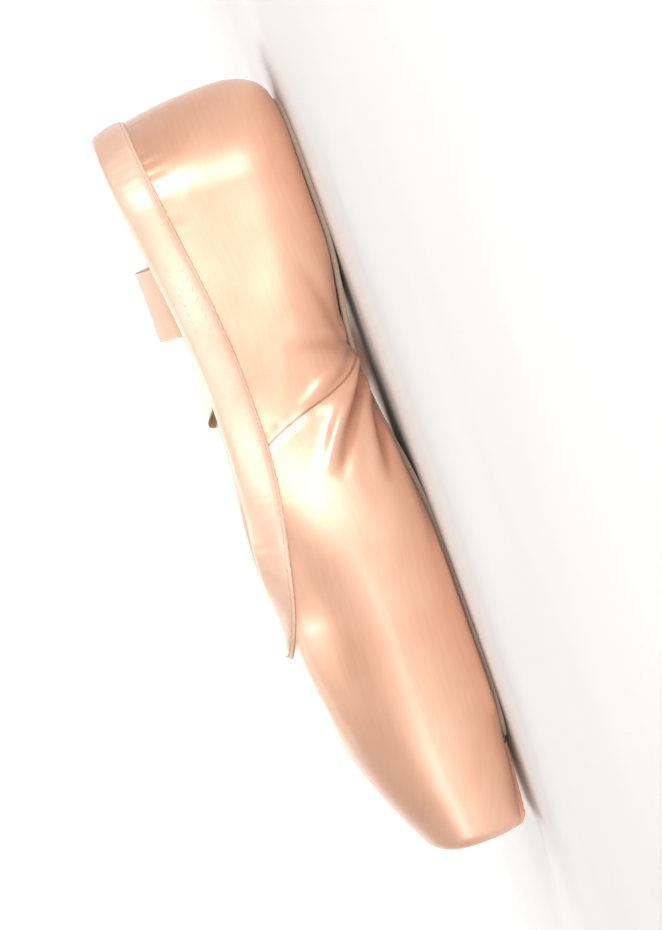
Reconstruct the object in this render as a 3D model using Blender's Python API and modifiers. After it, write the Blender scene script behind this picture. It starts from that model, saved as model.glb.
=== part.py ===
"""A pointe shoe that stands empty and unbent on its sole.

Metres. +X runs from heel to toe, +Y to the wearer's left, +Z up. The origin is on the floor,
under the middle of the shoe's length and width. The last is straight, so the shoe fits either foot.
A station is a distance in front of the back of the heel.
"""

import math

import bmesh
import bpy
import numpy as np
from mathutils import Vector
from mathutils.bvhtree import BVHTree

# Lengths along the shoe
LENGTH = 0.236
HEEL_CENTRE = 0.031
WAIST_STATION = 0.086
BALL_STATION = 0.144
VAMP_LENGTH = 0.078
THROAT_REACH = 0.060

# Widths of the last
HEEL_WIDTH = 0.058
WAIST_WIDTH = 0.062
BALL_WIDTH = 0.081
PLATFORM_WIDTH = 0.047

# Heights above the floor
HEEL_HEIGHT = 0.055
SIDE_HEIGHT = 0.048
THROAT_HEIGHT = 0.053
MIDDLE_HEIGHT = 0.020
HEEL_CROWN = 0.078
WAIST_CROWN = 0.088
PLATFORM_HEIGHT = 0.027
TOE_SPRING = 0.0030
ARCH_LIFT = 0.0045

# How the box narrows to the platform, from the side and from the top
BOX_TAPER = 2.0
VAMP_TAPER = 2.0
RIM_RADIUS = 0.0036
THROAT_ROUNDNESS = 2.4

# Walls and gaps
WALL = 0.0022
GAP = 0.0003
SOLE_THICKNESS = 0.0018
INSOLE_THICKNESS = 0.0015

# Outsole, seen from below
SOLE_BACK = 0.0105
SOLE_FRONT = 0.0255
SOLE_HEEL_WIDTH = 0.036
SOLE_WAIST_WIDTH = 0.028
SOLE_BALL_WIDTH = 0.054
SOLE_FRONT_WIDTH = 0.039
SOLE_BALL_STATION = 0.163
SOLE_CORNER = 0.010
HEEL_FLAT_END = 0.050
BALL_FLAT_START = 0.138
BALL_FLAT_END = 0.190
FLAT_MARGIN = 0.0012
SLOT_INSET = 0.0060
SLOT_DEPTH = 0.0100
FLAT_SHARE = 0.86
INSOLE_INSET = 0.0010

# Binding round the collar, and the satin cover of the toe
BINDING_WIDTH = 0.0100
BINDING_INNER = 0.0055
BINDING_THICKNESS = 0.0010
BINDING_GAP = 0.0005
PANEL_THICKNESS = 0.0007
PANEL_WIDTH = 0.034
PANEL_WAIST = 0.031
PANEL_GAP = 0.0005
PLATFORM_FLAT = 0.026

# Ribbons
RIBBON_WIDTH = 0.0220
RIBBON_THICKNESS = 0.0005
RIBBON_STEPS = 84
LAID_GAP = 0.0002
SOFT_BELOW = 0.030

# Routes of the ribbons in metres, from the stitches inside the collar to the cut end. Heading is the
# direction of the width seen from above, tilt is its rise, both in degrees. A height of 0 lies on the floor,
# with LAID_GAP under it, and heights under SOFT_BELOW are softened.
RIBBON_LEFT = [
    # x, y, z, heading, tilt
    (-0.0610, 0.0262, 0.0340, 0, 0),
    (-0.0609, 0.0246, 0.0400, 2, 0),
    (-0.0602, 0.0211, 0.0460, 8, 0),
    (-0.0570, 0.0142, 0.0494, 20, 0),
    (-0.0505, 0.0040, 0.0484, 30, 0),
    (-0.0435, -0.0065, 0.0474, 30, 0),
    (-0.0372, -0.0170, 0.0492, 26, 0),
    (-0.0335, -0.0258, 0.0509, 18, 4),
    (-0.0318, -0.0310, 0.0496, 10, 8),
    (-0.0302, -0.0340, 0.0440, 4, 14),
    (-0.0285, -0.0354, 0.0335, 1, 14),
    (-0.0278, -0.0376, 0.0230, 0, 12),
    (-0.0274, -0.0406, 0.0130, 0, 12),
    (-0.0270, -0.0464, 0.0064, 2, 16),
    (-0.0262, -0.0540, 0.0064, 6, 27),
    (-0.0243, -0.0625, 0.0088, 14, 46),
    (-0.0200, -0.0705, 0.0107, 30, 66),
    (-0.0110, -0.0765, 0.0111, 58, 78),
    (0.0020, -0.0790, 0.0, 82, 80),
    (0.0200, -0.0770, 0.0, 98, 76),
    (0.0460, -0.0690, 0.0, 106, 70),
    (0.0720, -0.0605, 0.0, 104, 68),
    (0.0940, -0.0590, 0.0, 82, 76),
    (0.1070, -0.0680, 0.0, 20, 86),
    (0.1030, -0.0830, 0.0, -40, 84),
    (0.0840, -0.0910, 0.0, -74, 66),
    (0.0560, -0.0930, 0.0, -88, 34),
    (0.0260, -0.0930, 0.0, -92, 12),
    (-0.0060, -0.0945, 0.0, -88, 6),
    (-0.0380, -0.0950, 0.0, -90, 4),
    (-0.0680, -0.0940, 0.0, -94, 4),
    (-0.0880, -0.0925, 0.0, -94, 6),
]
RIBBON_RIGHT = [
    # x, y, z, heading, tilt
    (-0.0610, -0.0262, 0.0340, 0, 0),
    (-0.0611, -0.0246, 0.0400, 0, 0),
    (-0.0613, -0.0223, 0.0465, 0, 0),
    (-0.0616, -0.0215, 0.0524, 0, 0),
    (-0.0619, -0.0240, 0.0564, 0, 0),
    (-0.0623, -0.0276, 0.0566, 0, 0),
    (-0.0627, -0.0306, 0.0532, 0, -2),
    (-0.0634, -0.0324, 0.0460, 0, -4),
    (-0.0643, -0.0334, 0.0350, 0, -6),
    (-0.0648, -0.0358, 0.0235, 0, -8),
    (-0.0652, -0.0396, 0.0130, 0, -9),
    (-0.0657, -0.0454, 0.0062, -1, -14),
    (-0.0667, -0.0530, 0.0063, -5, -26),
    (-0.0687, -0.0615, 0.0088, -14, -46),
    (-0.0730, -0.0700, 0.0107, -30, -66),
    (-0.0815, -0.0765, 0.0111, -54, -76),
    (-0.0930, -0.0805, 0.0, -66, -80),
    (-0.1050, -0.0860, 0.0, -52, -84),
    (-0.1130, -0.0960, 0.0, -16, -85),
    (-0.1120, -0.1070, 0.0, 30, -84),
    (-0.1020, -0.1150, 0.0, 60, -78),
    (-0.0880, -0.1185, 0.0, 74, -62),
    (-0.0660, -0.1205, 0.0, 82, -36),
    (-0.0400, -0.1215, 0.0, 86, -18),
    (-0.0120, -0.1215, 0.0, 88, -10),
    (0.0160, -0.1205, 0.0, 92, -14),
    (0.0420, -0.1185, 0.0, 94, -40),
    (0.0640, -0.1170, 0.0, 92, -66),
    (0.0840, -0.1175, 0.0, 80, -78),
    (0.1000, -0.1230, 0.0, 40, -84),
    (0.1050, -0.1350, 0.0, 0, -84),
    (0.0980, -0.1480, 0.0, -50, -82),
    (0.0840, -0.1560, 0.0, -76, -72),
    (0.0620, -0.1590, 0.0, -86, -48),
    (0.0360, -0.1595, 0.0, -90, -24),
    (0.0120, -0.1590, 0.0, -92, -10),
]

# Fineness of the mesh
HEEL_STEPS = 9
SIDE_STEPS = 7
THROAT_STEPS = 13
BOX_STEPS = 9
RIM_STEPS = 4
BOTTOM_POINTS = 3
CORNER_POINTS = 7
WALL_POINTS = 9
BINDING_STEPS = 76
SHEET_ACROSS = 4

THROAT_STATION = LENGTH - VAMP_LENGTH
SOLE_FRONT_STATION = LENGTH - SOLE_FRONT

# Power of the lower corner and of the upper curve of a section: 2 is an ellipse, more is squarer.
SECTION_POWERS = [
    # station, lower, upper
    (HEEL_CENTRE, 2.3, 2.2),
    (WAIST_STATION, 2.1, 2.2),
    (BALL_STATION, 2.3, 2.25),
    (LENGTH, 2.5, 2.7),
]


def mix(first, second, share):
    return first + (second - first) * share


def ease(share):
    share = min(max(share, 0.0), 1.0)
    return share * share * (3 - 2 * share)


def between(station, start, end):
    return (station - start) / (end - start)


def powers(station):
    rows = np.array(SECTION_POWERS)
    return np.interp(station, rows[:, 0], rows[:, 1]), np.interp(station, rows[:, 0], rows[:, 2])


def half_width(station):
    """Half of the last's width: straight sides, and a box that narrows to the platform."""
    if station >= BALL_STATION:
        share = 1 - (1 - between(station, LENGTH, BALL_STATION)) ** BOX_TAPER
        return mix(PLATFORM_WIDTH, BALL_WIDTH, share) / 2
    if station >= WAIST_STATION:
        return mix(WAIST_WIDTH, BALL_WIDTH, ease(between(station, WAIST_STATION, BALL_STATION))) / 2
    return mix(HEEL_WIDTH, WAIST_WIDTH, ease(between(station, HEEL_CENTRE, WAIST_STATION))) / 2


def sole_lift(station):
    """Height of the outsole's underside: flat under heel and ball, lifted at the arch and toe."""
    if HEEL_FLAT_END < station < BALL_FLAT_START:
        return ARCH_LIFT * math.sin(math.pi * between(station, HEEL_FLAT_END, BALL_FLAT_START)) ** 2
    if station > BALL_FLAT_END:
        return TOE_SPRING * between(station, BALL_FLAT_END, LENGTH) ** 1.6
    return 0.0


def underside(station):
    """Height of the upper's underside, just above the outsole."""
    return sole_lift(station) + SOLE_THICKNESS + GAP


def crown(station):
    """Height of the last on its middle line, where the sides would meet behind the throat."""
    if station >= THROAT_STATION:
        low = underside(LENGTH) + PLATFORM_HEIGHT
        share = 1 - (1 - between(station, LENGTH, THROAT_STATION)) ** VAMP_TAPER
        return mix(low, THROAT_HEIGHT, share)
    if station >= WAIST_STATION:
        share = ease(between(station, WAIST_STATION, THROAT_STATION))
        return mix(WAIST_CROWN, THROAT_HEIGHT, share)
    return mix(HEEL_CROWN, WAIST_CROWN, ease(between(station, HEEL_CENTRE, WAIST_STATION)))


def middle(station):
    """Height at which the last is widest."""
    platform_middle = underside(LENGTH) + PLATFORM_HEIGHT / 2
    return mix(MIDDLE_HEIGHT, platform_middle, ease(between(station, BALL_STATION, LENGTH)))


def sole_half_width(station):
    """Half of the outsole's width, with a round heel and a front edge with round corners."""
    start, end = SOLE_BACK, SOLE_FRONT_STATION
    if station <= start or station >= end:
        return 0.0
    heel_reach = SOLE_HEEL_WIDTH * 0.55
    if station < start + heel_reach:
        share = 1 - between(station, start, start + heel_reach)
        return SOLE_HEEL_WIDTH / 2 * math.sqrt(1 - share**2)
    if station < WAIST_STATION:
        share = ease(between(station, start + heel_reach, WAIST_STATION))
        return mix(SOLE_HEEL_WIDTH, SOLE_WAIST_WIDTH, share) / 2
    if station < SOLE_BALL_STATION:
        share = ease(between(station, WAIST_STATION, SOLE_BALL_STATION))
        return mix(SOLE_WAIST_WIDTH, SOLE_BALL_WIDTH, share) / 2
    share = between(station, SOLE_BALL_STATION, end) ** 2
    half = mix(SOLE_BALL_WIDTH, SOLE_FRONT_WIDTH, share) / 2
    if station > end - SOLE_CORNER:
        corner = between(station, end - SOLE_CORNER, end)
        half -= SOLE_CORNER * (1 - math.sqrt(1 - corner**2))
    return half


def bottom_half_width(station):
    """Half of the flat width under the last, a little wider than the outsole."""
    if station < SOLE_BACK + SOLE_HEEL_WIDTH * 0.55:
        return SOLE_HEEL_WIDTH / 2 + FLAT_MARGIN
    if station < SOLE_BALL_STATION:
        return sole_half_width(station) + FLAT_MARGIN
    front = SOLE_FRONT_WIDTH / 2 + FLAT_MARGIN
    if station < SOLE_FRONT_STATION:
        share = between(station, SOLE_BALL_STATION, SOLE_FRONT_STATION) ** 2
        return mix(SOLE_BALL_WIDTH / 2 + FLAT_MARGIN, front, share)
    return mix(front, PLATFORM_FLAT / 2, ease(between(station, SOLE_FRONT_STATION, LENGTH)))


def side_height(station):
    """Height of the collar's edge along the side."""
    return mix(HEEL_HEIGHT, SIDE_HEIGHT, ease(between(station, 0.0, WAIST_STATION)))


def collar_angle(station, height):
    """How far up the upper curve the wall goes: a right angle is the middle line."""
    _, power = powers(station)
    rise = (height - middle(station)) / (crown(station) - middle(station))
    side = math.asin(min(rise, 1.0) ** (power / 2))
    if station >= THROAT_STATION:
        return math.pi / 2
    reach = min(between(station, THROAT_STATION, THROAT_STATION - THROAT_REACH), 1.0)
    spread = (1 - (1 - reach) ** THROAT_ROUNDNESS) ** (1 / THROAT_ROUNDNESS)
    return math.pi / 2 - (math.pi / 2 - side) * spread


def resample(line, count):
    """The same line with count equal steps."""
    along = np.concatenate([[0], np.cumsum(np.linalg.norm(np.diff(line, axis=0), axis=1))])
    places = np.linspace(0, along[-1], count + 1)
    return np.stack([np.interp(places, along, line[:, axis]) for axis in range(2)], axis=1)


def section(station, height=None, inset=0.0, closed=False):
    """Half of a section as (out from the middle line, up), from the bottom to the collar or the top."""
    lower, upper = powers(station)
    side, floor, top = half_width(station) - inset, underside(station) + inset, crown(station) - inset
    waist = middle(station)
    flat = min(bottom_half_width(station), side * FLAT_SHARE)
    bottom = np.array([[0.0, floor], [flat, floor]])
    turn = np.linspace(0, math.pi / 2, 40)
    corner = np.stack(
        [
            flat + (side - flat) * np.sin(turn) ** (2 / lower),
            waist - (waist - floor) * np.cos(turn) ** (2 / lower),
        ],
        axis=1,
    )
    end = math.pi / 2 if closed else collar_angle(station, height or side_height(station))
    climb = np.linspace(0, end, 60)
    wall = np.stack(
        [
            side * np.maximum(np.cos(climb), 0) ** (2 / upper),
            waist + (top - waist) * np.sin(climb) ** (2 / upper),
        ],
        axis=1,
    )
    return np.concatenate(
        [
            resample(bottom, BOTTOM_POINTS)[:-1],
            resample(corner, CORNER_POINTS)[:-1],
            resample(wall, WALL_POINTS),
        ]
    )


def heel_section(turn, closed=False):
    """A section through the round heel: turn is 0 at the side and a right angle at the back."""
    back = HEEL_CENTRE * (1 - math.sin(turn))
    line = section(HEEL_CENTRE, side_height(back), closed=closed)
    side = half_width(HEEL_CENTRE)
    out = line[:, 0] / side
    return np.stack(
        [
            HEEL_CENTRE - out * HEEL_CENTRE * math.sin(turn),
            out * side * math.cos(turn),
            line[:, 1],
        ],
        axis=1,
    )


def stations():
    """The stations of the sections in front of the heel, closer together round the throat."""
    behind = THROAT_STATION - THROAT_REACH
    side = np.linspace(HEEL_CENTRE, behind, SIDE_STEPS + 1)[:-1]
    turn = np.linspace(math.pi / 2, 0, THROAT_STEPS + 1)
    throat = THROAT_STATION - THROAT_REACH * (1 - np.cos(turn))
    box = np.linspace(THROAT_STATION, LENGTH - RIM_RADIUS, BOX_STEPS + 1)[1:]
    return np.concatenate([side, throat, box])


def last_rows():
    """The left half of the last's skin, row by row from the back of the heel to the platform."""
    rows = [heel_section(turn) for turn in np.linspace(math.pi / 2, 0, HEEL_STEPS + 1)[:-1]]
    for station in stations():
        line = section(station)
        rows.append(np.column_stack([np.full(len(line), station), line]))
    for turn in np.linspace(0, math.pi / 2, RIM_STEPS + 1)[1:]:
        station = LENGTH - RIM_RADIUS * (1 - math.sin(turn))
        line = section(station, inset=RIM_RADIUS * (1 - math.cos(turn)))
        rows.append(np.column_stack([np.full(len(line), station), line]))
    return np.array(rows)


def loft_normals(rows):
    """The outward normal at each point of rows that run from the bottom up."""
    along = np.gradient(rows, axis=0)
    across = np.gradient(rows, axis=1)
    normals = np.cross(across, along)
    size = np.linalg.norm(normals, axis=2, keepdims=True)
    return normals / np.maximum(size, 1e-12)


def placed(points):
    """Points measured from the back of the heel, moved to the shoe's own frame."""
    return np.asarray(points, float) - np.array([LENGTH / 2, 0, 0])


def material(name, colour, roughness):
    made = bpy.data.materials.new(name)
    made.use_nodes = True
    shader = made.node_tree.nodes["Principled BSDF"]
    shader.inputs["Base Color"].default_value = (*colour, 1)
    shader.inputs["Roughness"].default_value = roughness
    shader.inputs["Metallic"].default_value = 0.0
    return made


def grid_mesh(rows, closed_along=False, closed_across=False):
    """A bmesh of quads between rows of points, each as long as the next."""
    work = bmesh.new()
    verts = [[work.verts.new(point) for point in row] for row in rows]
    count, width = len(verts), len(verts[0])
    for i in range(count if closed_along else count - 1):
        for j in range(width if closed_across else width - 1):
            ahead, beside = (i + 1) % count, (j + 1) % width
            work.faces.new([verts[i][j], verts[ahead][j], verts[ahead][beside], verts[i][beside]])
    return work, verts


def link(name, work, group, look):
    """The bmesh as a smooth object of the group."""
    bmesh.ops.remove_doubles(work, verts=work.verts, dist=1e-6)
    bmesh.ops.dissolve_degenerate(work, edges=work.edges, dist=1e-6)
    bmesh.ops.recalc_face_normals(work, faces=work.faces)
    mesh = bpy.data.meshes.new(name)
    work.to_mesh(mesh)
    work.free()
    made = bpy.data.objects.new(name, mesh)
    group.objects.link(made)
    mesh.shade_smooth()
    mesh.set_sharp_from_angle(angle=math.radians(50))
    if look:
        mesh.materials.append(look)
    return made


def mirror(target):
    made = target.modifiers.new("Mirror", "MIRROR")
    made.use_axis = (False, True, False)
    made.use_clip = True
    made.merge_threshold = 0.00001


def solidify(target, thickness):
    made = target.modifiers.new("Solidify", "SOLIDIFY")
    made.thickness = thickness
    made.offset = -1
    made.use_even_offset = True
    made.use_quality_normals = True


def sheet(stations_along, half_of, height_of, across=SHEET_ACROSS):
    """Rows of points across the shoe, on a sheet that is half_of wide and height_of high."""
    shares = np.linspace(-1, 1, across + 1)
    return [
        placed([[station, share * half_of(station), height_of(station)] for share in shares])
        for station in stations_along
    ]


def eased_stations(start, end, count, back, front):
    """Stations from start to end that lie close together in the back and front stretches."""
    turn = np.linspace(0, math.pi / 2, 7)
    return np.unique(
        np.concatenate(
            [
                start + back * (1 - np.cos(turn)),
                np.linspace(start + back, end - front, count),
                end - front * (1 - np.sin(turn)),
            ]
        ).round(6)
    )


def make_upper(group, look):
    """The satin and canvas shell with its box, open at the collar and under the insole."""
    rows = last_rows()
    rows[:, 0, 1] = 0.0
    rows[0, :, 1] = 0.0
    closed = rows[:, 0, 0] >= THROAT_STATION - 1e-6
    rows[closed, -1, 1] = 0.0
    work, verts = grid_mesh(placed(rows))
    work.faces.new(verts[-1])
    upper = link("upper", work, group, look)
    mirror(upper)
    solidify(upper, WALL)
    return upper


def make_slot(upper, group):
    """Cuts the opening under the upper that insole and outsole close."""
    start, end = SOLE_BACK + SLOT_INSET, SOLE_FRONT_STATION - SLOT_INSET

    def half(station):
        return max(sole_half_width(station) - SLOT_INSET, 0.0)

    along = eased_stations(start, end, 12, SOLE_HEEL_WIDTH / 4, SOLE_CORNER / 2)
    work, _ = grid_mesh(sheet(along, half, lambda station: -SLOT_DEPTH, 2))
    slot = link("slot_cutter", work, group, None)
    solidify(slot, MIDDLE_HEIGHT)
    slot.modifiers["Solidify"].offset = 1 if slot.data.polygons[0].normal.z > 0 else -1
    slot.hide_render = True
    slot.display_type = "WIRE"
    cut = upper.modifiers.new("Slot", "BOOLEAN")
    cut.operation = "DIFFERENCE"
    cut.object = slot


def make_plate(name, group, look, plate):
    """A thin plate along the shoe: the outsole or the insole."""
    work, _ = grid_mesh(sheet(plate["along"], plate["half"], plate["height"]))
    made = link(name, work, group, look)
    solidify(made, plate["thickness"])
    made.modifiers["Solidify"].offset = 1 if made.data.polygons[0].normal.z > 0 else -1
    return made


def make_outsole(group, look):
    along = eased_stations(SOLE_BACK, SOLE_FRONT_STATION, 22, SOLE_HEEL_WIDTH * 0.55, SOLE_CORNER)
    outsole = {"along": along, "half": sole_half_width, "height": sole_lift, "thickness": SOLE_THICKNESS}
    return make_plate("outsole", group, look, outsole)


def make_insole(group, look):
    """The inner board, with the outsole's outline drawn in a little."""
    start, end = SOLE_BACK + INSOLE_INSET, SOLE_FRONT_STATION - INSOLE_INSET

    def half(station):
        share = between(station, start, end)
        return max(sole_half_width(mix(SOLE_BACK, SOLE_FRONT_STATION, share)) - INSOLE_INSET, 0.0)

    def height(station):
        return underside(station) + WALL + GAP

    along = eased_stations(start, end, 22, SOLE_HEEL_WIDTH * 0.55, SOLE_CORNER)
    insole = {"along": along, "half": half, "height": height, "thickness": INSOLE_THICKNESS}
    return make_plate("insole", group, look, insole)


def skin_tree():
    """The whole last, closed at the top, to lay pieces on."""
    fine = np.linspace(math.pi / 2, 0, 25)[:-1]
    rows = [heel_section(turn, closed=True) for turn in fine]
    for station in np.linspace(HEEL_CENTRE, LENGTH - RIM_RADIUS, 110):
        line = section(station, closed=True)
        rows.append(np.column_stack([np.full(len(line), station), line]))
    half = placed(rows)
    whole = np.concatenate([half[:, ::-1], half[:, 1:] * (1, -1, 1)], axis=1)
    width = whole.shape[1]
    faces = [
        (i * width + j, (i + 1) * width + j, (i + 1) * width + j + 1, i * width + j + 1)
        for i in range(len(whole) - 1)
        for j in range(width - 1)
    ]
    return BVHTree.FromPolygons([Vector(point) for point in whole.reshape(-1, 3)], faces)


def collar_loop():
    """Evenly spaced points round the outer edge of the collar, from the back to the throat and round."""
    edge = [heel_section(turn)[-1] for turn in np.linspace(math.pi / 2, 0, 20)[:-1]]
    turn = np.linspace(math.pi / 2, 0, 40)
    throat = THROAT_STATION - THROAT_REACH * (1 - np.cos(turn))
    for station in np.concatenate([np.linspace(HEEL_CENTRE, throat[0], 30)[:-1], throat]):
        edge.append([station, *section(station)[-1]])
    half = placed(edge)
    half[0, 1] = half[-1, 1] = 0.0
    loop = np.concatenate([half, half[-2::-1] * (1, -1, 1)])
    along = np.concatenate([[0], np.cumsum(np.linalg.norm(np.diff(loop, axis=0), axis=1))])
    places = np.linspace(0, along[-1], BINDING_STEPS + 1)[:-1]
    return np.stack([np.interp(places, along, loop[:, axis]) for axis in range(3)], axis=1)


def binding_profile():
    """The binding's section as (out from the skin, down from the edge): a tape folded over the wall."""
    outer, inner = BINDING_GAP + BINDING_THICKNESS, -WALL - BINDING_GAP - BINDING_THICKNESS
    top = -BINDING_GAP - BINDING_THICKNESS
    return [
        (outer, BINDING_WIDTH),
        (outer, BINDING_WIDTH / 2),
        (outer, 0.0),
        (outer - BINDING_THICKNESS * 0.7, top * 0.8),
        (-WALL / 2, top),
        (inner + BINDING_THICKNESS * 0.7, top * 0.8),
        (inner, 0.0),
        (inner, BINDING_INNER),
        (inner + BINDING_THICKNESS, BINDING_INNER),
        (inner + BINDING_THICKNESS, 0.0),
        (inner + BINDING_THICKNESS, -BINDING_GAP),
        (-WALL / 2, -BINDING_GAP),
        (BINDING_GAP, -BINDING_GAP),
        (BINDING_GAP, 0.0),
        (BINDING_GAP, BINDING_WIDTH / 2),
        (BINDING_GAP, BINDING_WIDTH),
    ]


def on_skin(tree, edge, tangent, down):
    """The place and outward normal a given way down the skin from a point of the collar."""
    place, normal = Vector(edge), None
    _, normal, _, _ = tree.find_nearest(place)
    if normal.dot(place - Vector((place.x, 0, place.z / 2))) < 0:
        normal = -normal
    away = tangent.cross(normal).normalized()
    if down <= 0:
        return place + away * down, normal
    for _ in range(4):
        place, found, _, _ = tree.find_nearest(place + away * down / 4)
        normal = found if found.dot(normal) > 0 else -found
        away = (away - normal * away.dot(normal)).normalized()
    return place, normal


def make_binding(group, look):
    """The satin tape folded over the collar and round the throat."""
    tree = skin_tree()
    loop = collar_loop()
    rows = []
    for i, edge in enumerate(loop):
        tangent = Vector(loop[i - 1] - loop[(i + 1) % len(loop)]).normalized()
        row = []
        for out, down in binding_profile():
            place, normal = on_skin(tree, edge, tangent, down)
            row.append(place + normal * out)
        rows.append(row)
    work, _ = grid_mesh(rows, closed_along=True, closed_across=True)
    return link("binding", work, group, look)


def panel_half_width(station):
    """Half of the cover's width under the toe, narrowest midway."""
    share = between(station, SOLE_FRONT_STATION, LENGTH)
    return mix(PANEL_WIDTH, PANEL_WAIST, math.sin(math.pi * min(max(share, 0.0), 1.0))) / 2


def make_toe_panel(group, look):
    """The satin cover under the toe, from the outsole's front edge to the platform."""
    flat = np.linspace(SOLE_FRONT_STATION + PANEL_GAP, LENGTH - RIM_RADIUS, 6)
    places = [(station, 0.0) for station in flat]
    for turn in np.radians([20, 40, 60]):
        places.append((LENGTH - RIM_RADIUS * (1 - math.sin(turn)), RIM_RADIUS * (1 - math.cos(turn))))
    shares = np.linspace(-1, 1, 13)
    rows = []
    for station, inset in places:
        line = section(station, inset=inset)[: BOTTOM_POINTS + CORNER_POINTS]
        out = shares * panel_half_width(station)
        rows.append([[station, side, np.interp(abs(side), line[:, 0], line[:, 1])] for side in out])
    rows = np.array(rows)
    normals = loft_normals(rows)
    normals *= -np.sign(normals[..., 2:])
    work, _ = grid_mesh(placed(rows + normals * GAP))
    panel = link("toe_panel", work, group, look)
    solidify(panel, PANEL_THICKNESS)
    panel.modifiers["Solidify"].offset = -1 if panel.data.polygons[0].normal.z > 0 else 1
    return panel


def smooth_route(route, count):
    """Points on one smooth curve through a route's own points."""
    given = np.array(route, float)
    padded = np.concatenate([[2 * given[0] - given[1]], given, [2 * given[-1] - given[-2]]])
    found = []
    for place in np.linspace(0, len(given) - 1, count):
        i = min(int(place), len(given) - 2)
        t = place - i
        a, b, c, d = padded[i : i + 4]
        found.append(
            0.5 * (2 * b + (c - a) * t + (2 * a - 5 * b + 4 * c - d) * t**2 + (3 * b - a - 3 * c + d) * t**3)
        )
    return np.array(found)


def softened(values, reach):
    """Each value averaged with its neighbours, more with the near ones."""
    weights = np.hanning(2 * reach + 3)
    around = np.pad(values, reach + 1, "edge")
    return np.convolve(around, weights / weights.sum(), "valid")


def ribbon_edges(route, count):
    """Both edges of a ribbon, its middle line and its face normals along a route."""
    line = smooth_route(route, count)
    middle_line = line[:, :3].copy()
    heading, tilt = np.radians(line[:, 3]), np.radians(line[:, 4])
    wanted = np.column_stack([np.cos(heading) * np.cos(tilt), np.sin(heading) * np.cos(tilt), np.sin(tilt)])
    on_floor = np.abs(np.sin(tilt)) * RIBBON_WIDTH / 2 + np.abs(np.cos(tilt)) * RIBBON_THICKNESS + LAID_GAP
    height = np.maximum(line[:, 2], on_floor)
    middle_line[:, 2] = np.where(height > SOFT_BELOW, height, softened(height, max(count // 50, 1)))
    for _ in range(2):
        tangent = np.gradient(middle_line, axis=0)
        tangent /= np.linalg.norm(tangent, axis=1, keepdims=True)
        width = wanted - tangent * np.sum(wanted * tangent, axis=1, keepdims=True)
        width /= np.linalg.norm(width, axis=1, keepdims=True)
        face = np.cross(tangent, width)
        lowest = np.abs(width[:, 2]) * RIBBON_WIDTH / 2 + np.abs(face[:, 2]) * RIBBON_THICKNESS + GAP / 3
        middle_line[:, 2] = np.maximum(middle_line[:, 2], lowest)
    return middle_line - width * RIBBON_WIDTH / 2, middle_line + width * RIBBON_WIDTH / 2, middle_line, face


def make_ribbon(name, route, group, look):
    """A flat ribbon, sewn inside the collar and lying loose on the floor."""
    first, second, _, _ = ribbon_edges(route, RIBBON_STEPS)
    rows = [[a, (a + b) / 2, b] for a, b in zip(first, second)]
    work, _ = grid_mesh(rows)
    ribbon = link(name, work, group, look)
    solidify(ribbon, RIBBON_THICKNESS)
    ribbon.modifiers["Solidify"].offset = 0
    return ribbon


def main():
    for found in list(bpy.data.objects):
        bpy.data.objects.remove(found)
    shoe = bpy.data.collections.new("pointe_shoe")
    cutters = bpy.data.collections.new("cutters")
    for group in (shoe, cutters):
        bpy.context.scene.collection.children.link(group)
    satin = material("satin", (0.80, 0.45, 0.30), 0.35)
    tape = material("binding_satin", (0.85, 0.55, 0.42), 0.4)
    suede = material("suede", (0.42, 0.32, 0.25), 0.9)
    board = material("insole_board", (0.70, 0.60, 0.50), 0.8)
    ribbon = material("ribbon_satin", (0.86, 0.62, 0.48), 0.45)
    upper = make_upper(shoe, satin)
    make_slot(upper, cutters)
    make_outsole(shoe, suede)
    make_insole(shoe, board)
    make_binding(shoe, tape)
    make_toe_panel(shoe, satin)
    make_ribbon("ribbon_left", RIBBON_LEFT, shoe, ribbon)
    make_ribbon("ribbon_right", RIBBON_RIGHT, shoe, ribbon)


main()
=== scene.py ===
# The looks of a satin pointe shoe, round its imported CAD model. Metres; +X runs from heel to toe, +Y to the
# wearer's left, +Z up. A station is a distance in front of the back of the heel. A run is a station that goes
# on round the heel, and a rise is a distance up the skin from the outsole's edge.

import math

import bmesh
import bpy
import numpy as np
from mathutils import Matrix, Vector
from mathutils.bvhtree import BVHTree


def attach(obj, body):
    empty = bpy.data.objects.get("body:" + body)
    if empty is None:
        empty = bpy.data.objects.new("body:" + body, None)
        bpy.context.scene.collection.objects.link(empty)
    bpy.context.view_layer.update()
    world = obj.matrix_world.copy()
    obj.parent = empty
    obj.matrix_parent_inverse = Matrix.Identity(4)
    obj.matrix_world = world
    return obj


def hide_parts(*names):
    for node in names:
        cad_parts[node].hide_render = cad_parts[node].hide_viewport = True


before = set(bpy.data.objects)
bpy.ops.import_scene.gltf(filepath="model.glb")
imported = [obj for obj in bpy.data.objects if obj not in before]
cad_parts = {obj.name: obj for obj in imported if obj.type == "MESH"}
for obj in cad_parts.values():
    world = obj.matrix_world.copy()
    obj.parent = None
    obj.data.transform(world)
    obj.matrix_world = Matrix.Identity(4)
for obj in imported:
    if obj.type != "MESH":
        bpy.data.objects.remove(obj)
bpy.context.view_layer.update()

# The last, as the CAD model has it
LENGTH = 0.236
HEEL_CENTRE = 0.031
WAIST_STATION = 0.086
BALL_STATION = 0.144
THROAT_STATION = LENGTH - 0.078
THROAT_REACH = 0.060
HEEL_WIDTH, WAIST_WIDTH, BALL_WIDTH, PLATFORM_WIDTH = 0.058, 0.062, 0.081, 0.047
HEEL_HEIGHT, SIDE_HEIGHT, THROAT_HEIGHT, MIDDLE_HEIGHT = 0.055, 0.048, 0.053, 0.020
HEEL_CROWN, WAIST_CROWN, PLATFORM_HEIGHT = 0.078, 0.088, 0.027
TOE_SPRING, ARCH_LIFT = 0.0030, 0.0045
TAPER = 2.0
RIM_RADIUS = 0.0036
THROAT_ROUNDNESS = 2.4
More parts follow.
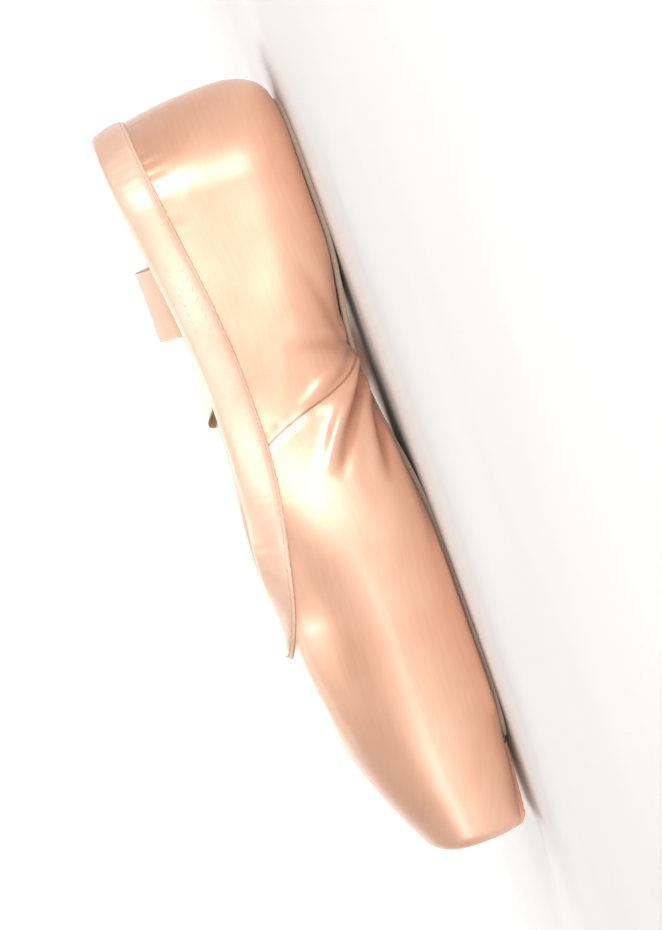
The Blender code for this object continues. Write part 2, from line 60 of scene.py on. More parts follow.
WALL, GAP = 0.0022, 0.0003
SOLE_THICKNESS, INSOLE_THICKNESS = 0.0018, 0.0015
SOLE_BACK = 0.0105
SOLE_FRONT = LENGTH - 0.0255
SOLE_HEEL_WIDTH, SOLE_WAIST_WIDTH, SOLE_BALL_WIDTH, SOLE_FRONT_WIDTH = 0.036, 0.028, 0.054, 0.039
SOLE_BALL_STATION = 0.163
SOLE_CORNER = 0.010
SOLE_HEEL_REACH = SOLE_HEEL_WIDTH * 0.55
HEEL_FLAT_END, BALL_FLAT_START, BALL_FLAT_END = 0.050, 0.138, 0.190
FLAT_MARGIN = 0.0012
FLAT_SHARE = 0.86
INSOLE_INSET = 0.0010
BINDING_WIDTH, BINDING_INNER, BINDING_GAP = 0.0100, 0.0055, 0.0005
PANEL_WIDTH, PANEL_WAIST, PANEL_GAP = 0.034, 0.031, 0.0005
PLATFORM_FLAT = 0.026
SECTION_POWERS = np.array(
    [
        # station, lower corner, upper curve
        (HEEL_CENTRE, 2.3, 2.2),
        (WAIST_STATION, 2.1, 2.2),
        (BALL_STATION, 2.3, 2.25),
        (LENGTH, 2.5, 2.7),
    ]
)

# Ribbons: routes from the stitches inside the collar to the cut end, with the width's heading and tilt in
# degrees. A height of 0 is laid on the floor.
RIBBON_WIDTH, RIBBON_THICKNESS = 0.0220, 0.0005
LAID_GAP, SOFT_BELOW = 0.0002, 0.030
RIBBON_ROUTES = {
    "left": [
        # x, y, z, heading, tilt
        (-0.0610, 0.0262, 0.0340, 0, 0),
        (-0.0609, 0.0246, 0.0400, 2, 0),
        (-0.0602, 0.0211, 0.0460, 8, 0),
        (-0.0570, 0.0142, 0.0494, 20, 0),
        (-0.0505, 0.0040, 0.0484, 30, 0),
        (-0.0435, -0.0065, 0.0474, 30, 0),
        (-0.0372, -0.0170, 0.0492, 26, 0),
        (-0.0335, -0.0258, 0.0509, 18, 4),
        (-0.0318, -0.0310, 0.0496, 10, 8),
        (-0.0302, -0.0340, 0.0440, 4, 14),
        (-0.0285, -0.0354, 0.0335, 1, 14),
        (-0.0278, -0.0376, 0.0230, 0, 12),
        (-0.0274, -0.0406, 0.0130, 0, 12),
        (-0.0270, -0.0464, 0.0064, 2, 16),
        (-0.0262, -0.0540, 0.0064, 6, 27),
        (-0.0243, -0.0625, 0.0088, 14, 46),
        (-0.0200, -0.0705, 0.0107, 30, 66),
        (-0.0110, -0.0765, 0.0111, 58, 78),
        (0.0020, -0.0790, 0.0, 82, 80),
        (0.0200, -0.0770, 0.0, 98, 76),
        (0.0460, -0.0690, 0.0, 106, 70),
        (0.0720, -0.0605, 0.0, 104, 68),
        (0.0940, -0.0590, 0.0, 82, 76),
        (0.1070, -0.0680, 0.0, 20, 86),
        (0.1030, -0.0830, 0.0, -40, 84),
        (0.0840, -0.0910, 0.0, -74, 66),
        (0.0560, -0.0930, 0.0, -88, 34),
        (0.0260, -0.0930, 0.0, -92, 12),
        (-0.0060, -0.0945, 0.0, -88, 6),
        (-0.0380, -0.0950, 0.0, -90, 4),
        (-0.0680, -0.0940, 0.0, -94, 4),
        (-0.0880, -0.0925, 0.0, -94, 6),
    ],
    "right": [
        # x, y, z, heading, tilt
        (-0.0610, -0.0262, 0.0340, 0, 0),
        (-0.0611, -0.0246, 0.0400, 0, 0),
        (-0.0613, -0.0223, 0.0465, 0, 0),
        (-0.0616, -0.0215, 0.0524, 0, 0),
        (-0.0619, -0.0240, 0.0564, 0, 0),
        (-0.0623, -0.0276, 0.0566, 0, 0),
        (-0.0627, -0.0306, 0.0532, 0, -2),
        (-0.0634, -0.0324, 0.0460, 0, -4),
        (-0.0643, -0.0334, 0.0350, 0, -6),
        (-0.0648, -0.0358, 0.0235, 0, -8),
        (-0.0652, -0.0396, 0.0130, 0, -9),
        (-0.0657, -0.0454, 0.0062, -1, -14),
        (-0.0667, -0.0530, 0.0063, -5, -26),
        (-0.0687, -0.0615, 0.0088, -14, -46),
        (-0.0730, -0.0700, 0.0107, -30, -66),
        (-0.0815, -0.0765, 0.0111, -54, -76),
        (-0.0930, -0.0805, 0.0, -66, -80),
        (-0.1050, -0.0860, 0.0, -52, -84),
        (-0.1130, -0.0960, 0.0, -16, -85),
        (-0.1120, -0.1070, 0.0, 30, -84),
        (-0.1020, -0.1150, 0.0, 60, -78),
        (-0.0880, -0.1185, 0.0, 74, -62),
        (-0.0660, -0.1205, 0.0, 82, -36),
        (-0.0400, -0.1215, 0.0, 86, -18),
        (-0.0120, -0.1215, 0.0, 88, -10),
        (0.0160, -0.1205, 0.0, 92, -14),
        (0.0420, -0.1185, 0.0, 94, -40),
        (0.0640, -0.1170, 0.0, 92, -66),
        (0.0840, -0.1175, 0.0, 80, -78),
        (0.1000, -0.1230, 0.0, 40, -84),
        (0.1050, -0.1350, 0.0, 0, -84),
        (0.0980, -0.1480, 0.0, -50, -82),
        (0.0840, -0.1560, 0.0, -76, -72),
        (0.0620, -0.1590, 0.0, -86, -48),
        (0.0360, -0.1595, 0.0, -90, -24),
        (0.0120, -0.1590, 0.0, -92, -10),
    ],
}

# Side seam, from the outsole's edge to the collar
SEAM_FOOT, SEAM_TOP, SEAM_SWAY = 0.086, 0.110, 0.0014
SEAM_GROOVE, SEAM_WIDTH, SEAM_STEP, SEAM_STEP_FADE = 0.00035, 0.0009, 0.00030, 0.010

# Folds of the satin: a curve from start by way of bend to end, each a run and a rise in millimetres, with the
# half width of the crest and its height. Each has its hollow towards the heel.
FOLDS = np.array(
    [
        # start run, rise, bend run, rise, end run, rise, width, height
        (88, 3, 98, 18, 118, 33, 2.1, 2.20),
        (89, 1, 104, 11, 126, 21, 2.4, 1.30),
        (90, 2, 116, 9, 150, 12, 2.8, 1.00),
        (88, 9, 90, 19, 98, 31, 1.6, 0.55),
        (83, 5, 76, 17, 76, 30, 3.0, 0.55),
        (82, 3, 68, 11, 52, 15, 3.2, 0.50),
        (116, 12, 134, 20, 150, 24, 4.0, 0.35),
    ]
)
# Broad swells and hollows of the satin, in the same way
SWELLS = np.array(
    [
        # start run, rise, bend run, rise, end run, rise, width, height
        (18, 12, 60, 18, 98, 38, 9.0, 1.10),
        (68, 5, 76, 8, 83, 12, 7.0, -0.90),
        (8, 30, 26, 34, 44, 36, 9.0, -0.45),
        (112, 30, 150, 30, 205, 18, 8.0, 0.35),
        (100, 8, 112, 14, 132, 18, 7.0, -0.60),
    ]
)
EDGE_BULGE, EDGE_BULGE_RISE, EDGE_BULGE_WIDTH = 0.0009, 0.0052, 0.0026
EDGE_CHANNEL, EDGE_CHANNEL_RISE, EDGE_CHANNEL_WIDTH = 0.0007, 0.0010, 0.0016

# Fineness of the meshes
SKIN_COUNTS = (10, 40, 66)
LINING_COUNTS = (6, 16, 28)
HEEL_ROWS, SIDE_ROWS, THROAT_ROWS, BOX_ROWS, RIM_ROWS, PLATFORM_ROWS = 56, 84, 76, 84, 9, 14
BINDING_STEPS = 480
RIBBON_STEPS = 320
FOLD_STEPS = 24
PLATE_COLUMNS, PLATE_END_ROWS = 44, 14

# The step of the machine stitches and the length of a hand stitch
STITCH_STEP = 0.0024
HAND_STITCH = 0.0019

# Waves of the satin: height, length along and length up the skin
BROAD_WAVE = (0.00020, 0.070, 0.040)
FINE_WAVE = (0.00002, 0.020, 0.014)
# The satin is drawn tight over the box, between these two runs
TIGHT_START, TIGHT_END, TIGHT_SHARE = 0.130, 0.165, 0.75
# Where its relief fades out: under the collar, before the platform, at the middle line and at the heel's back
COLLAR_CALM, PLATFORM_CALM, MIDDLE_CALM, BACK_CALM = 0.016, 0.022, 0.006, 0.004
# Runs between which the bulge and the channel beside the sole grow and fade
EDGE_START, EDGE_FULL, EDGE_FADE, EDGE_END = 0.084, 0.096, 0.196, 0.210
# The gathered knot at the side seam's foot
KNOT_RISE, KNOT_HEIGHT, KNOT_RADIUS, KNOT_WIDTH, KNOT_SPOKES = 0.001, 0.0005, 0.0055, 0.004, 9
# Small gathers under the binding round the heel
GATHER_STEP, GATHER_HEIGHT, GATHER_DROP, GATHER_WIDTH = 0.0046, 0.00009, 0.011, 0.004
GATHER_FULL, GATHER_END = 0.02, 0.045
# Keeps the cloth coordinates of the two sides apart
CLOTH_SHIFT = 0.05

MM = 0.001


def mix(first, second, share):
    return first + (second - first) * share


def ease(share):
    share = np.clip(share, 0.0, 1.0)
    return share * share * (3 - 2 * share)


def between(station, start, end):
    return (station - start) / (end - start)


def bump(distance, width):
    """A smooth hump that is 1 in its middle."""
    return np.exp(-((distance / width) ** 2))


def waves(first, second, seed):
    """Smooth wandering values between about -1 and 1, from two coordinates in wavelengths."""
    draw = np.random.default_rng(seed)
    total = np.zeros(np.broadcast(first, second).shape)
    count = 6
    for _ in range(count):
        turn, phase, pace = draw.uniform(0, math.pi), draw.uniform(0, 2 * math.pi), draw.uniform(0.6, 1.7)
        total += np.sin(2 * math.pi * pace * (first * math.cos(turn) + second * math.sin(turn)) + phase)
    return total / count**0.5


def lengths(line):
    """Length along a line, up to each of its points."""
    return np.concatenate([[0], np.cumsum(np.linalg.norm(np.diff(line, axis=0), axis=1))])


def unit(vectors):
    return vectors / np.linalg.norm(vectors, axis=-1, keepdims=True)


# The last's form
def powers(station):
    return (np.interp(station, SECTION_POWERS[:, 0], SECTION_POWERS[:, column]) for column in (1, 2))


def half_width(station):
    if station >= BALL_STATION:
        share = 1 - (1 - between(station, LENGTH, BALL_STATION)) ** TAPER
        return mix(PLATFORM_WIDTH, BALL_WIDTH, share) / 2
    if station >= WAIST_STATION:
        return mix(WAIST_WIDTH, BALL_WIDTH, ease(between(station, WAIST_STATION, BALL_STATION))) / 2
    return mix(HEEL_WIDTH, WAIST_WIDTH, ease(between(station, HEEL_CENTRE, WAIST_STATION))) / 2


def sole_lift(station):
    if HEEL_FLAT_END < station < BALL_FLAT_START:
        return ARCH_LIFT * math.sin(math.pi * between(station, HEEL_FLAT_END, BALL_FLAT_START)) ** 2
    if station > BALL_FLAT_END:
        return TOE_SPRING * between(station, BALL_FLAT_END, LENGTH) ** 1.6
    return 0.0


def underside(station):
    return sole_lift(station) + SOLE_THICKNESS + GAP


def crown(station):
    if station >= THROAT_STATION:
        share = 1 - (1 - between(station, LENGTH, THROAT_STATION)) ** TAPER
        return mix(underside(LENGTH) + PLATFORM_HEIGHT, THROAT_HEIGHT, share)
    if station >= WAIST_STATION:
        return mix(WAIST_CROWN, THROAT_HEIGHT, ease(between(station, WAIST_STATION, THROAT_STATION)))
    return mix(HEEL_CROWN, WAIST_CROWN, ease(between(station, HEEL_CENTRE, WAIST_STATION)))


def middle(station):
    platform_middle = underside(LENGTH) + PLATFORM_HEIGHT / 2
    return mix(MIDDLE_HEIGHT, platform_middle, ease(between(station, BALL_STATION, LENGTH)))


def sole_half_width(station):
    if station <= SOLE_BACK or station >= SOLE_FRONT:
        return 0.0
    if station < SOLE_BACK + SOLE_HEEL_REACH:
        share = 1 - between(station, SOLE_BACK, SOLE_BACK + SOLE_HEEL_REACH)
        return SOLE_HEEL_WIDTH / 2 * math.sqrt(1 - share**2)
    if station < WAIST_STATION:
        share = ease(between(station, SOLE_BACK + SOLE_HEEL_REACH, WAIST_STATION))
        return mix(SOLE_HEEL_WIDTH, SOLE_WAIST_WIDTH, share) / 2
    if station < SOLE_BALL_STATION:
        share = ease(between(station, WAIST_STATION, SOLE_BALL_STATION))
        return mix(SOLE_WAIST_WIDTH, SOLE_BALL_WIDTH, share) / 2
    half = mix(SOLE_BALL_WIDTH, SOLE_FRONT_WIDTH, between(station, SOLE_BALL_STATION, SOLE_FRONT) ** 2) / 2
    if station > SOLE_FRONT - SOLE_CORNER:
        corner = between(station, SOLE_FRONT - SOLE_CORNER, SOLE_FRONT)
        half -= SOLE_CORNER * (1 - math.sqrt(1 - corner**2))
    return half


def bottom_half_width(station):
    if station < SOLE_BACK + SOLE_HEEL_REACH:
        return SOLE_HEEL_WIDTH / 2 + FLAT_MARGIN
    if station < SOLE_BALL_STATION:
        return sole_half_width(station) + FLAT_MARGIN
    front = SOLE_FRONT_WIDTH / 2 + FLAT_MARGIN
    if station < SOLE_FRONT:
        share = between(station, SOLE_BALL_STATION, SOLE_FRONT) ** 2
        return mix(SOLE_BALL_WIDTH / 2 + FLAT_MARGIN, front, share)
    return mix(front, PLATFORM_FLAT / 2, ease(between(station, SOLE_FRONT, LENGTH)))


def collar_angle(station, height):
    """How far up the upper curve the wall goes: a right angle is the middle line."""
    _, power = powers(station)
    rise = (height - middle(station)) / (crown(station) - middle(station))
    side = math.asin(min(rise, 1.0) ** (power / 2))
    if station >= THROAT_STATION:
        return math.pi / 2
    reach = min(between(station, THROAT_STATION, THROAT_STATION - THROAT_REACH), 1.0)
    spread = (1 - (1 - reach) ** THROAT_ROUNDNESS) ** (1 / THROAT_ROUNDNESS)
    return math.pi / 2 - (math.pi / 2 - side) * spread


def resample(line, count):
    """The same line with count equal steps."""
    along = lengths(line)
    places = np.linspace(0, along[-1], count + 1)
    return np.stack([np.interp(places, along, line[:, axis]) for axis in range(line.shape[1])], axis=1)


def side_height(station):
    return mix(HEEL_HEIGHT, SIDE_HEIGHT, ease(between(station, 0.0, WAIST_STATION)))


def section(station, height=None, inset=0.0, closed=False, counts=SKIN_COUNTS):
    """Half of a section as (out from the middle line, up), from the bottom to the collar or the top."""
    lower, upper = powers(station)
    side, floor, top = half_width(station) - inset, underside(station) + inset, crown(station) - inset
    waist = middle(station)
    flat = min(bottom_half_width(station), side * FLAT_SHARE)
    turn = np.linspace(0, math.pi / 2, 4 * counts[1])
    corner_out = flat + (side - flat) * np.sin(turn) ** (2 / lower)
    corner = np.column_stack([corner_out, waist - (waist - floor) * np.cos(turn) ** (2 / lower)])
    top_angle = math.pi / 2 if closed else collar_angle(station, height or side_height(station))
    climb = np.linspace(0, top_angle, 4 * counts[2])
    wall_out = side * np.maximum(np.cos(climb), 0) ** (2 / upper)
    wall = np.column_stack([wall_out, waist + (top - waist) * np.sin(climb) ** (2 / upper)])
    return np.concatenate(
        [
            resample(np.array([[0.0, floor], [flat, floor]]), counts[0])[:-1],
            resample(corner, counts[1])[:-1],
            resample(wall, counts[2]),
        ]
    )


def heel_section(turn, closed=False, counts=SKIN_COUNTS):
    """A section through the round heel: turn is 0 at the side and a right angle at the back."""
    back = HEEL_CENTRE * (1 - math.sin(turn))
    line = section(HEEL_CENTRE, side_height(back), closed=closed, counts=counts)
    return np.column_stack(
        [
            HEEL_CENTRE - line[:, 0] / half_width(HEEL_CENTRE) * HEEL_CENTRE * math.sin(turn),
            line[:, 0] * math.cos(turn),
            line[:, 1],
        ]
    )


def standing(station, **wanted):
    """The points of a section, at its station."""
    line = section(station, **wanted)
    return np.column_stack([np.full(len(line), station), line])


def rim_place(turn):
    """Station and inset on the platform's rim: turn is 0 at the side and a right angle in front."""
    return LENGTH - RIM_RADIUS * (1 - math.sin(turn)), RIM_RADIUS * (1 - math.cos(turn))


def throat_stations(count):
    """Stations along the throat's U, closest together at its front."""
    bend = np.cos(np.linspace(math.pi / 2, 0, count)) ** (2 / THROAT_ROUNDNESS)
    return THROAT_STATION - THROAT_REACH * (1 - bend)


def last_rows(counts, fineness=1.0):
    """Half of the last's skin, row by row from the back of the heel over the platform to its middle."""
    heel, side, throat, box = (int(n * fineness) for n in (HEEL_ROWS, SIDE_ROWS, THROAT_ROWS, BOX_ROWS))
    rows = [heel_section(turn, counts=counts) for turn in np.linspace(math.pi / 2, 0, heel + 1)[:-1]]
    places = np.concatenate(
        [
            np.linspace(HEEL_CENTRE, THROAT_STATION - THROAT_REACH, side + 1)[:-1],
            throat_stations(throat + 1),
            np.linspace(THROAT_STATION, LENGTH - RIM_RADIUS, box + 1)[1:],
        ]
    )
    rows += [standing(station, counts=counts) for station in places]
    for turn in np.linspace(0, math.pi / 2, RIM_ROWS + 1)[1:]:
        station, inset = rim_place(turn)
        rows.append(standing(station, inset=inset, counts=counts))
    rim, centre = rows[-1], np.array([LENGTH, 0.0, middle(LENGTH)])
    for share in np.linspace(1, 0, PLATFORM_ROWS + 1)[1:]:
        rows.append(centre + (rim - centre) * share)
    return np.array(rows)


def half_skin(counts, fineness=1.0):
    """Half of the skin with its middle lines on the middle plane, and which rows are closed on top."""
    half = last_rows(counts, fineness)
    half[:, 0, 1] = 0.0
    half[0, :, 1] = 0.0
    closed = half[:, 0, 0] >= THROAT_STATION - 1e-6
    half[closed, -1, 1] = 0.0
    return half, closed


def placed(points):
    """Points measured from the back of the heel, moved to the shoe's own frame."""
    return np.asarray(points, float) - np.array([LENGTH / 2, 0, 0])


def arc(points, axis):
    """Length along an array of points, up to each of them."""
    steps = np.linalg.norm(np.diff(points, axis=axis), axis=2)
    return np.concatenate([np.zeros_like(steps.take([0], axis)), np.cumsum(steps, axis)], axis)


def outward(grid):
    """Unit normals of a grid of points, turned away from the shoe's inside."""
    normals = np.cross(np.gradient(grid, axis=1), np.gradient(grid, axis=0))
    normals /= np.maximum(np.linalg.norm(normals, axis=2, keepdims=True), 1e-12)
    inside = placed([[0.5 * LENGTH, 0, MIDDLE_HEIGHT]])[0]
    heart = np.clip(grid, inside - (0.08, 0, 0), inside + (0.06, 0, 0))
    return normals * np.sign(np.sum(normals * (grid - heart), axis=2, keepdims=True))


# Meshes
def grid_faces(rows, columns, ring=False):
    faces = []
    for i in range(rows - 1):
        for j in range(columns if ring else columns - 1):
            beside = (j + 1) % columns
            here, above = i * columns, (i + 1) * columns
            faces.append((here + j, here + beside, above + beside, above + j))
    return faces


def shifted(faces, count):
    """The same faces for points that come after count others."""
    return [tuple(v + count for v in face) for face in faces]


def cloth_points(along, across):
    return np.stack([along, across], -1).reshape(-1, 2)


def new_piece(name, points, faces, look, values=None, cloth=None):
    """A smooth mesh that rides on the shoe, with values at its points and cloth coordinates."""
    mesh = bpy.data.meshes.new(name)
    mesh.from_pydata([tuple(p) for p in points], [], faces)
    for label, numbers in (values or {}).items():
        mesh.attributes.new(label, "FLOAT", "POINT").data.foreach_set("value", np.ravel(numbers))
    if cloth is not None:
        layer = mesh.uv_layers.new(name="cloth")
        corners = np.zeros(len(mesh.loops), int)
        mesh.loops.foreach_get("vertex_index", corners)
        layer.data.foreach_set("uv", np.asarray(cloth)[corners].ravel())
    work = bmesh.new()
    work.from_mesh(mesh)
    bmesh.ops.remove_doubles(work, verts=work.verts, dist=2e-6)
    bmesh.ops.dissolve_degenerate(work, edges=work.edges, dist=1e-7)
    bmesh.ops.recalc_face_normals(work, faces=work.faces)
    work.to_mesh(mesh)
    work.free()
    mesh.shade_smooth()
    mesh.materials.append(look)
    piece = bpy.data.objects.new(name, mesh)
    bpy.context.scene.collection.objects.link(piece)
    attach(piece, "root")
    return piece


def tube(path, radius, sides):
    """Points and faces of a closed round tube along a path; radius is one number or one at each point."""
    path = np.asarray(path, float)
    radius = np.broadcast_to(radius, len(path))
    tangents = unit(np.gradient(path, axis=0))
    side = np.cross(tangents[0], (0.3, 0.2, 0.93))
    points = []
    for place, tangent, size in zip(path, tangents, radius):
        side = side - tangent * side.dot(tangent)
        side /= np.linalg.norm(side)
        up = np.cross(tangent, side)
        for k in range(sides):
            turn = 2 * math.pi * k / sides
            points.append(place + (side * math.cos(turn) + up * math.sin(turn)) * size)
    faces = grid_faces(len(path), sides, ring=True)
    faces += [tuple(range(sides)), tuple(reversed(range(len(points) - sides, len(points))))]
    return points, faces


def threads(name, paths, radius, look):
    """Many short threads as one piece."""
    points, faces = [], []
    for path in paths:
        swell = radius * np.array([0.55] + [1.0] * (len(path) - 2) + [0.55])
        more, sides = tube(path, swell, 6)
        faces += shifted(sides, len(points))
        points += more
    new_piece(name, points, faces, look)


# Materials
def nodes_of(name):
    made = bpy.data.materials.new(name)
    made.use_nodes = True
    tree = made.node_tree
    return made, tree, tree.nodes["Principled BSDF"]


def add(tree, kind, inputs=None, **settings):
    """A node with its settings and inputs; an input that is a socket is linked."""
    node = tree.nodes.new(kind)
    for label, value in settings.items():
        setattr(node, label, value)
    for label, value in (inputs or {}).items():
        if isinstance(value, bpy.types.NodeSocket):
            tree.links.new(value, node.inputs[label])
        else:
            node.inputs[label].default_value = value
    return node


def place_of(tree, scale=(1, 1, 1)):
    """Object coordinates in metres, stretched by scale."""
    where = add(tree, "ShaderNodeTexCoord").outputs["Object"]
    return add(tree, "ShaderNodeMapping", {"Vector": where, "Scale": scale}).outputs["Vector"]


def cloth_of(tree, scale):
    """Cloth coordinates, along and across the threads, times scale."""
    where = add(tree, "ShaderNodeUVMap", uv_map="cloth").outputs["UV"]
    return add(tree, "ShaderNodeMapping", {"Vector": where, "Scale": scale}).outputs["Vector"]


def noise(tree, where, scale, detail=3.0, roughness=0.55):
    inputs = {"Vector": where, "Scale": scale, "Detail": detail, "Roughness": roughness}
    return add(tree, "ShaderNodeTexNoise", inputs).outputs["Fac"]


def spread(tree, value, low, high, start=0.0, end=1.0):
    """Maps value from low..high to start..end, and no further."""
    inputs = {"Value": value, "From Min": low, "From Max": high, "To Min": start, "To Max": end}
    return add(tree, "ShaderNodeMapRange", inputs, interpolation_type="SMOOTHSTEP").outputs["Result"]


def blend_colours(tree, share, first, second):
    node = add(tree, "ShaderNodeMix", data_type="RGBA", blend_type="MIX")
    for socket, value in (("Factor_Float", share), ("A_Color", first), ("B_Color", second)):
        target = next(s for s in node.inputs if s.identifier == socket)
        if isinstance(value, bpy.types.NodeSocket):
            tree.links.new(value, target)
        else:
            target.default_value = value if socket == "Factor_Float" else (*value, 1)
    return next(s for s in node.outputs if s.identifier == "Result_Color")


def calculate(tree, kind, first, second):
    node = add(tree, "ShaderNodeMath", operation=kind)
    for socket, value in zip(node.inputs, (first, second)):
        if isinstance(value, bpy.types.NodeSocket):
            tree.links.new(value, socket)
        else:
            socket.default_value = value
    return node.outputs["Value"]


def attribute(tree, name):
    return add(tree, "ShaderNodeAttribute", attribute_name=name).outputs["Fac"]


def cloudy(tree, scale, detail, low, first, second):
    """A colour that drifts between two, in clouds of 1 / scale metres."""
    share = spread(tree, noise(tree, place_of(tree), scale, detail), low, 1 - low)
    return blend_colours(tree, share, first, second)


def streaks(tree, along, across, detail):
    """Threads that are 1 / along metres long and 1 / across metres apart."""
    return spread(tree, noise(tree, cloth_of(tree, (along, across, 1)), 1.0, detail), 0.3, 0.7)


def streaked(tree, height, share, colour, second):
    return blend_colours(tree, calculate(tree, "MULTIPLY", height, share), colour, second)


def weave(tree, pitch):
    """The height of a fine weave with threads that are pitch apart."""
    threads_seen = []
    for direction in ("X", "Y"):
        inputs = {"Vector": cloth_of(tree, (1, 1, 1)), "Scale": 0.5 / pitch, "Distortion": 0.6}
        wave = add(tree, "ShaderNodeTexWave", inputs, bands_direction=direction)
        threads_seen.append(wave.outputs["Fac"])
    return calculate(tree, "MULTIPLY", *threads_seen)


def finished(made, tree, shader, colour, layers, roughness, **values):
    """The look with its colour, its bumps and uniform values straight on the shader's sockets.

    The bumps are stacked: each layer is a height, a depth in metres and a strength.
    """
    tree.links.new(colour, shader.inputs["Base Color"])
    shader.inputs["Roughness"].default_value = roughness
    for label, value in values.items():
        shader.inputs[label.replace("_", " ")].default_value = value
    normal = None
    for height, depth, strength in layers:
        inputs = {"Height": height, "Distance": depth, "Strength": strength}
        if normal:
            inputs["Normal"] = normal
        normal = add(tree, "ShaderNodeBump", inputs).outputs["Normal"]
    if normal:
        tree.links.new(normal, shader.inputs["Normal"])
    return made


def satin(name, seams=True):
    """Glossy peach satin: lengthwise streaks painted lighter as sheen, a fine weave, darker seams, and
    painted shade in the hollows.
    """
    made, tree, shader = nodes_of(name)
    colour = cloudy(tree, 28, 3.0, 0.35, (0.785, 0.422, 0.285), (0.830, 0.490, 0.352))
    sheen = streaks(tree, 60, 900, 4)
    # The streaks lighten the colour along the threads: painted sheen.
    colour = streaked(tree, sheen, 0.16, colour, (0.90, 0.62, 0.45))
    layers = [(sheen, 0.00004, 0.25), (weave(tree, 0.0003), 0.00002, 0.35)]
    if seams:
        off = add(tree, "ShaderNodeMath", {0: attribute(tree, "seam")}, operation="ABSOLUTE").outputs["Value"]
        colour = blend_colours(tree, spread(tree, off, 0.08, 0.42, 0.70, 0.0), colour, (0.40, 0.18, 0.10))
        # Painted shade: the colour is darkened in the folds' hollows and in the channel beside the sole.
        shaded_hollow = spread(tree, attribute(tree, "shaded_hollow"), 0.05, 1.0, 0.0, 0.75)
        colour = blend_colours(tree, shaded_hollow, colour, (0.52, 0.22, 0.12))
        layers.insert(0, (spread(tree, off, 0.0, 0.5), 0.00025, 1.0))
    return finished(
        made, tree, shader, colour, layers, 0.38,
        Metallic=0.35, Specular_IOR_Level=0.8,
        Coat_Weight=0.6, Coat_Roughness=0.24, Coat_IOR=1.6, Coat_Tint=(1.0, 0.97, 0.92, 1),
    )


def cotton():
    """Plain-woven lining, a little creased and rubbed."""
    made, tree, shader = nodes_of("cotton_lining")
    colour = cloudy(tree, 45, 4, 0.3, (0.88, 0.73, 0.58), (0.92, 0.80, 0.67))
    woven = weave(tree, 0.0007)
    colour = blend_colours(tree, spread(tree, woven, 0.0, 1.0, 0.22, 0.0), colour, (0.72, 0.55, 0.41))
    layers = [(woven, 0.00012, 0.7), (noise(tree, place_of(tree), 160, 3), 0.0002, 0.4)]
    return finished(
        made, tree, shader, colour, layers, 0.85,
        Specular_IOR_Level=0.25, Sheen_Weight=0.3, Sheen_Roughness=0.6, Sheen_Tint=(1.0, 0.86, 0.74, 1),
    )


def tape_satin():
    """Pale satin tape, woven across its length, with a soft gloss."""
    made, tree, shader = nodes_of("binding_satin")
    colour = cloudy(tree, 60, 3.0, 0.35, (0.850, 0.560, 0.420), (0.895, 0.640, 0.505))
    ribs = streaks(tree, 1900, 160, 2)
    colour = streaked(tree, ribs, 0.14, colour, (0.80, 0.48, 0.35))
    layers = [(ribs, 0.00004, 0.14), (weave(tree, 0.0003), 0.00002, 0.35)]
    return finished(
        made, tree, shader, colour, layers, 0.38,
        Metallic=0.15, Specular_IOR_Level=0.7,
        Coat_Weight=0.35, Coat_Roughness=0.30, Coat_IOR=1.5, Coat_Tint=(1.0, 0.96, 0.90, 1),
    )


def ribbon_satin():
    """Limp ribbon: matte pale satin with fine ribs across it and firmer edges."""
    made, tree, shader = nodes_of("ribbon_satin")
    colour = cloudy(tree, 50, 3.0, 0.35, (0.850, 0.590, 0.440), (0.885, 0.650, 0.505))
    ribs = streaks(tree, 1500, 60, 3)
    colour = streaked(tree, ribs, 0.18, colour, (0.78, 0.50, 0.36))
    edge = spread(tree, attribute(tree, "edge"), 0.90, 0.94, 0.0, 0.45)
    colour = blend_colours(tree, edge, colour, (0.92, 0.72, 0.58))
    layers = [(ribs, 0.00006, 0.6), (weave(tree, 0.00035), 0.00003, 0.4)]
    return finished(
        made, tree, shader, colour, layers, 0.44,
        Specular_IOR_Level=0.55, Sheen_Weight=0.4, Sheen_Roughness=0.4, Sheen_Tint=(1.0, 0.92, 0.85, 1),
    )


def suede():
    """Grey-tan suede: a short mottled nap, painted lighter along its cut edge as a highlight."""
    made, tree, shader = nodes_of("sole_suede")
    nap = noise(tree, place_of(tree, (1, 1.6, 1)), 900, 5, 0.7)
    colour = cloudy(tree, 70, 4, 0.3, (0.330, 0.245, 0.190), (0.440, 0.345, 0.280))
    colour = blend_colours(tree, spread(tree, nap, 0.35, 0.65, 0.0, 0.35), colour, (0.56, 0.46, 0.38))
    # Painted highlight: a thin lighter line along the cut edge, where the edge catches light.
    colour = streaked(tree, attribute(tree, "cut"), 0.55, colour, (0.62, 0.50, 0.40))
    layers = [(nap, 0.00025, 0.8), (noise(tree, place_of(tree), 220, 4), 0.0004, 0.5)]
    return finished(
        made, tree, shader, colour, layers, 0.93,
        Specular_IOR_Level=0.2, Sheen_Weight=0.45, Sheen_Roughness=0.5,
    )


def thread_look(name, colour):
    made, tree, shader = nodes_of(name)
    twist = noise(tree, place_of(tree), 2600, 2)
    shaded = blend_colours(tree, twist, tuple(0.8 * c for c in colour), colour)
    layers = [(twist, 0.00008, 0.6)]
    return finished(made, tree, shader, shaded, layers, 0.45, Sheen_Weight=0.3, Specular_IOR_Level=0.5)


# The satin upper
def fold_line(fold):
    """Points along a fold's curve, in metres of run and rise."""
    start, bend, end = (fold[k : k + 2] * MM for k in (0, 2, 4))
    share = np.linspace(0, 1, FOLD_STEPS)[:, None]
    return start * (1 - share) ** 2 + 2 * bend * share * (1 - share) + end * share**2


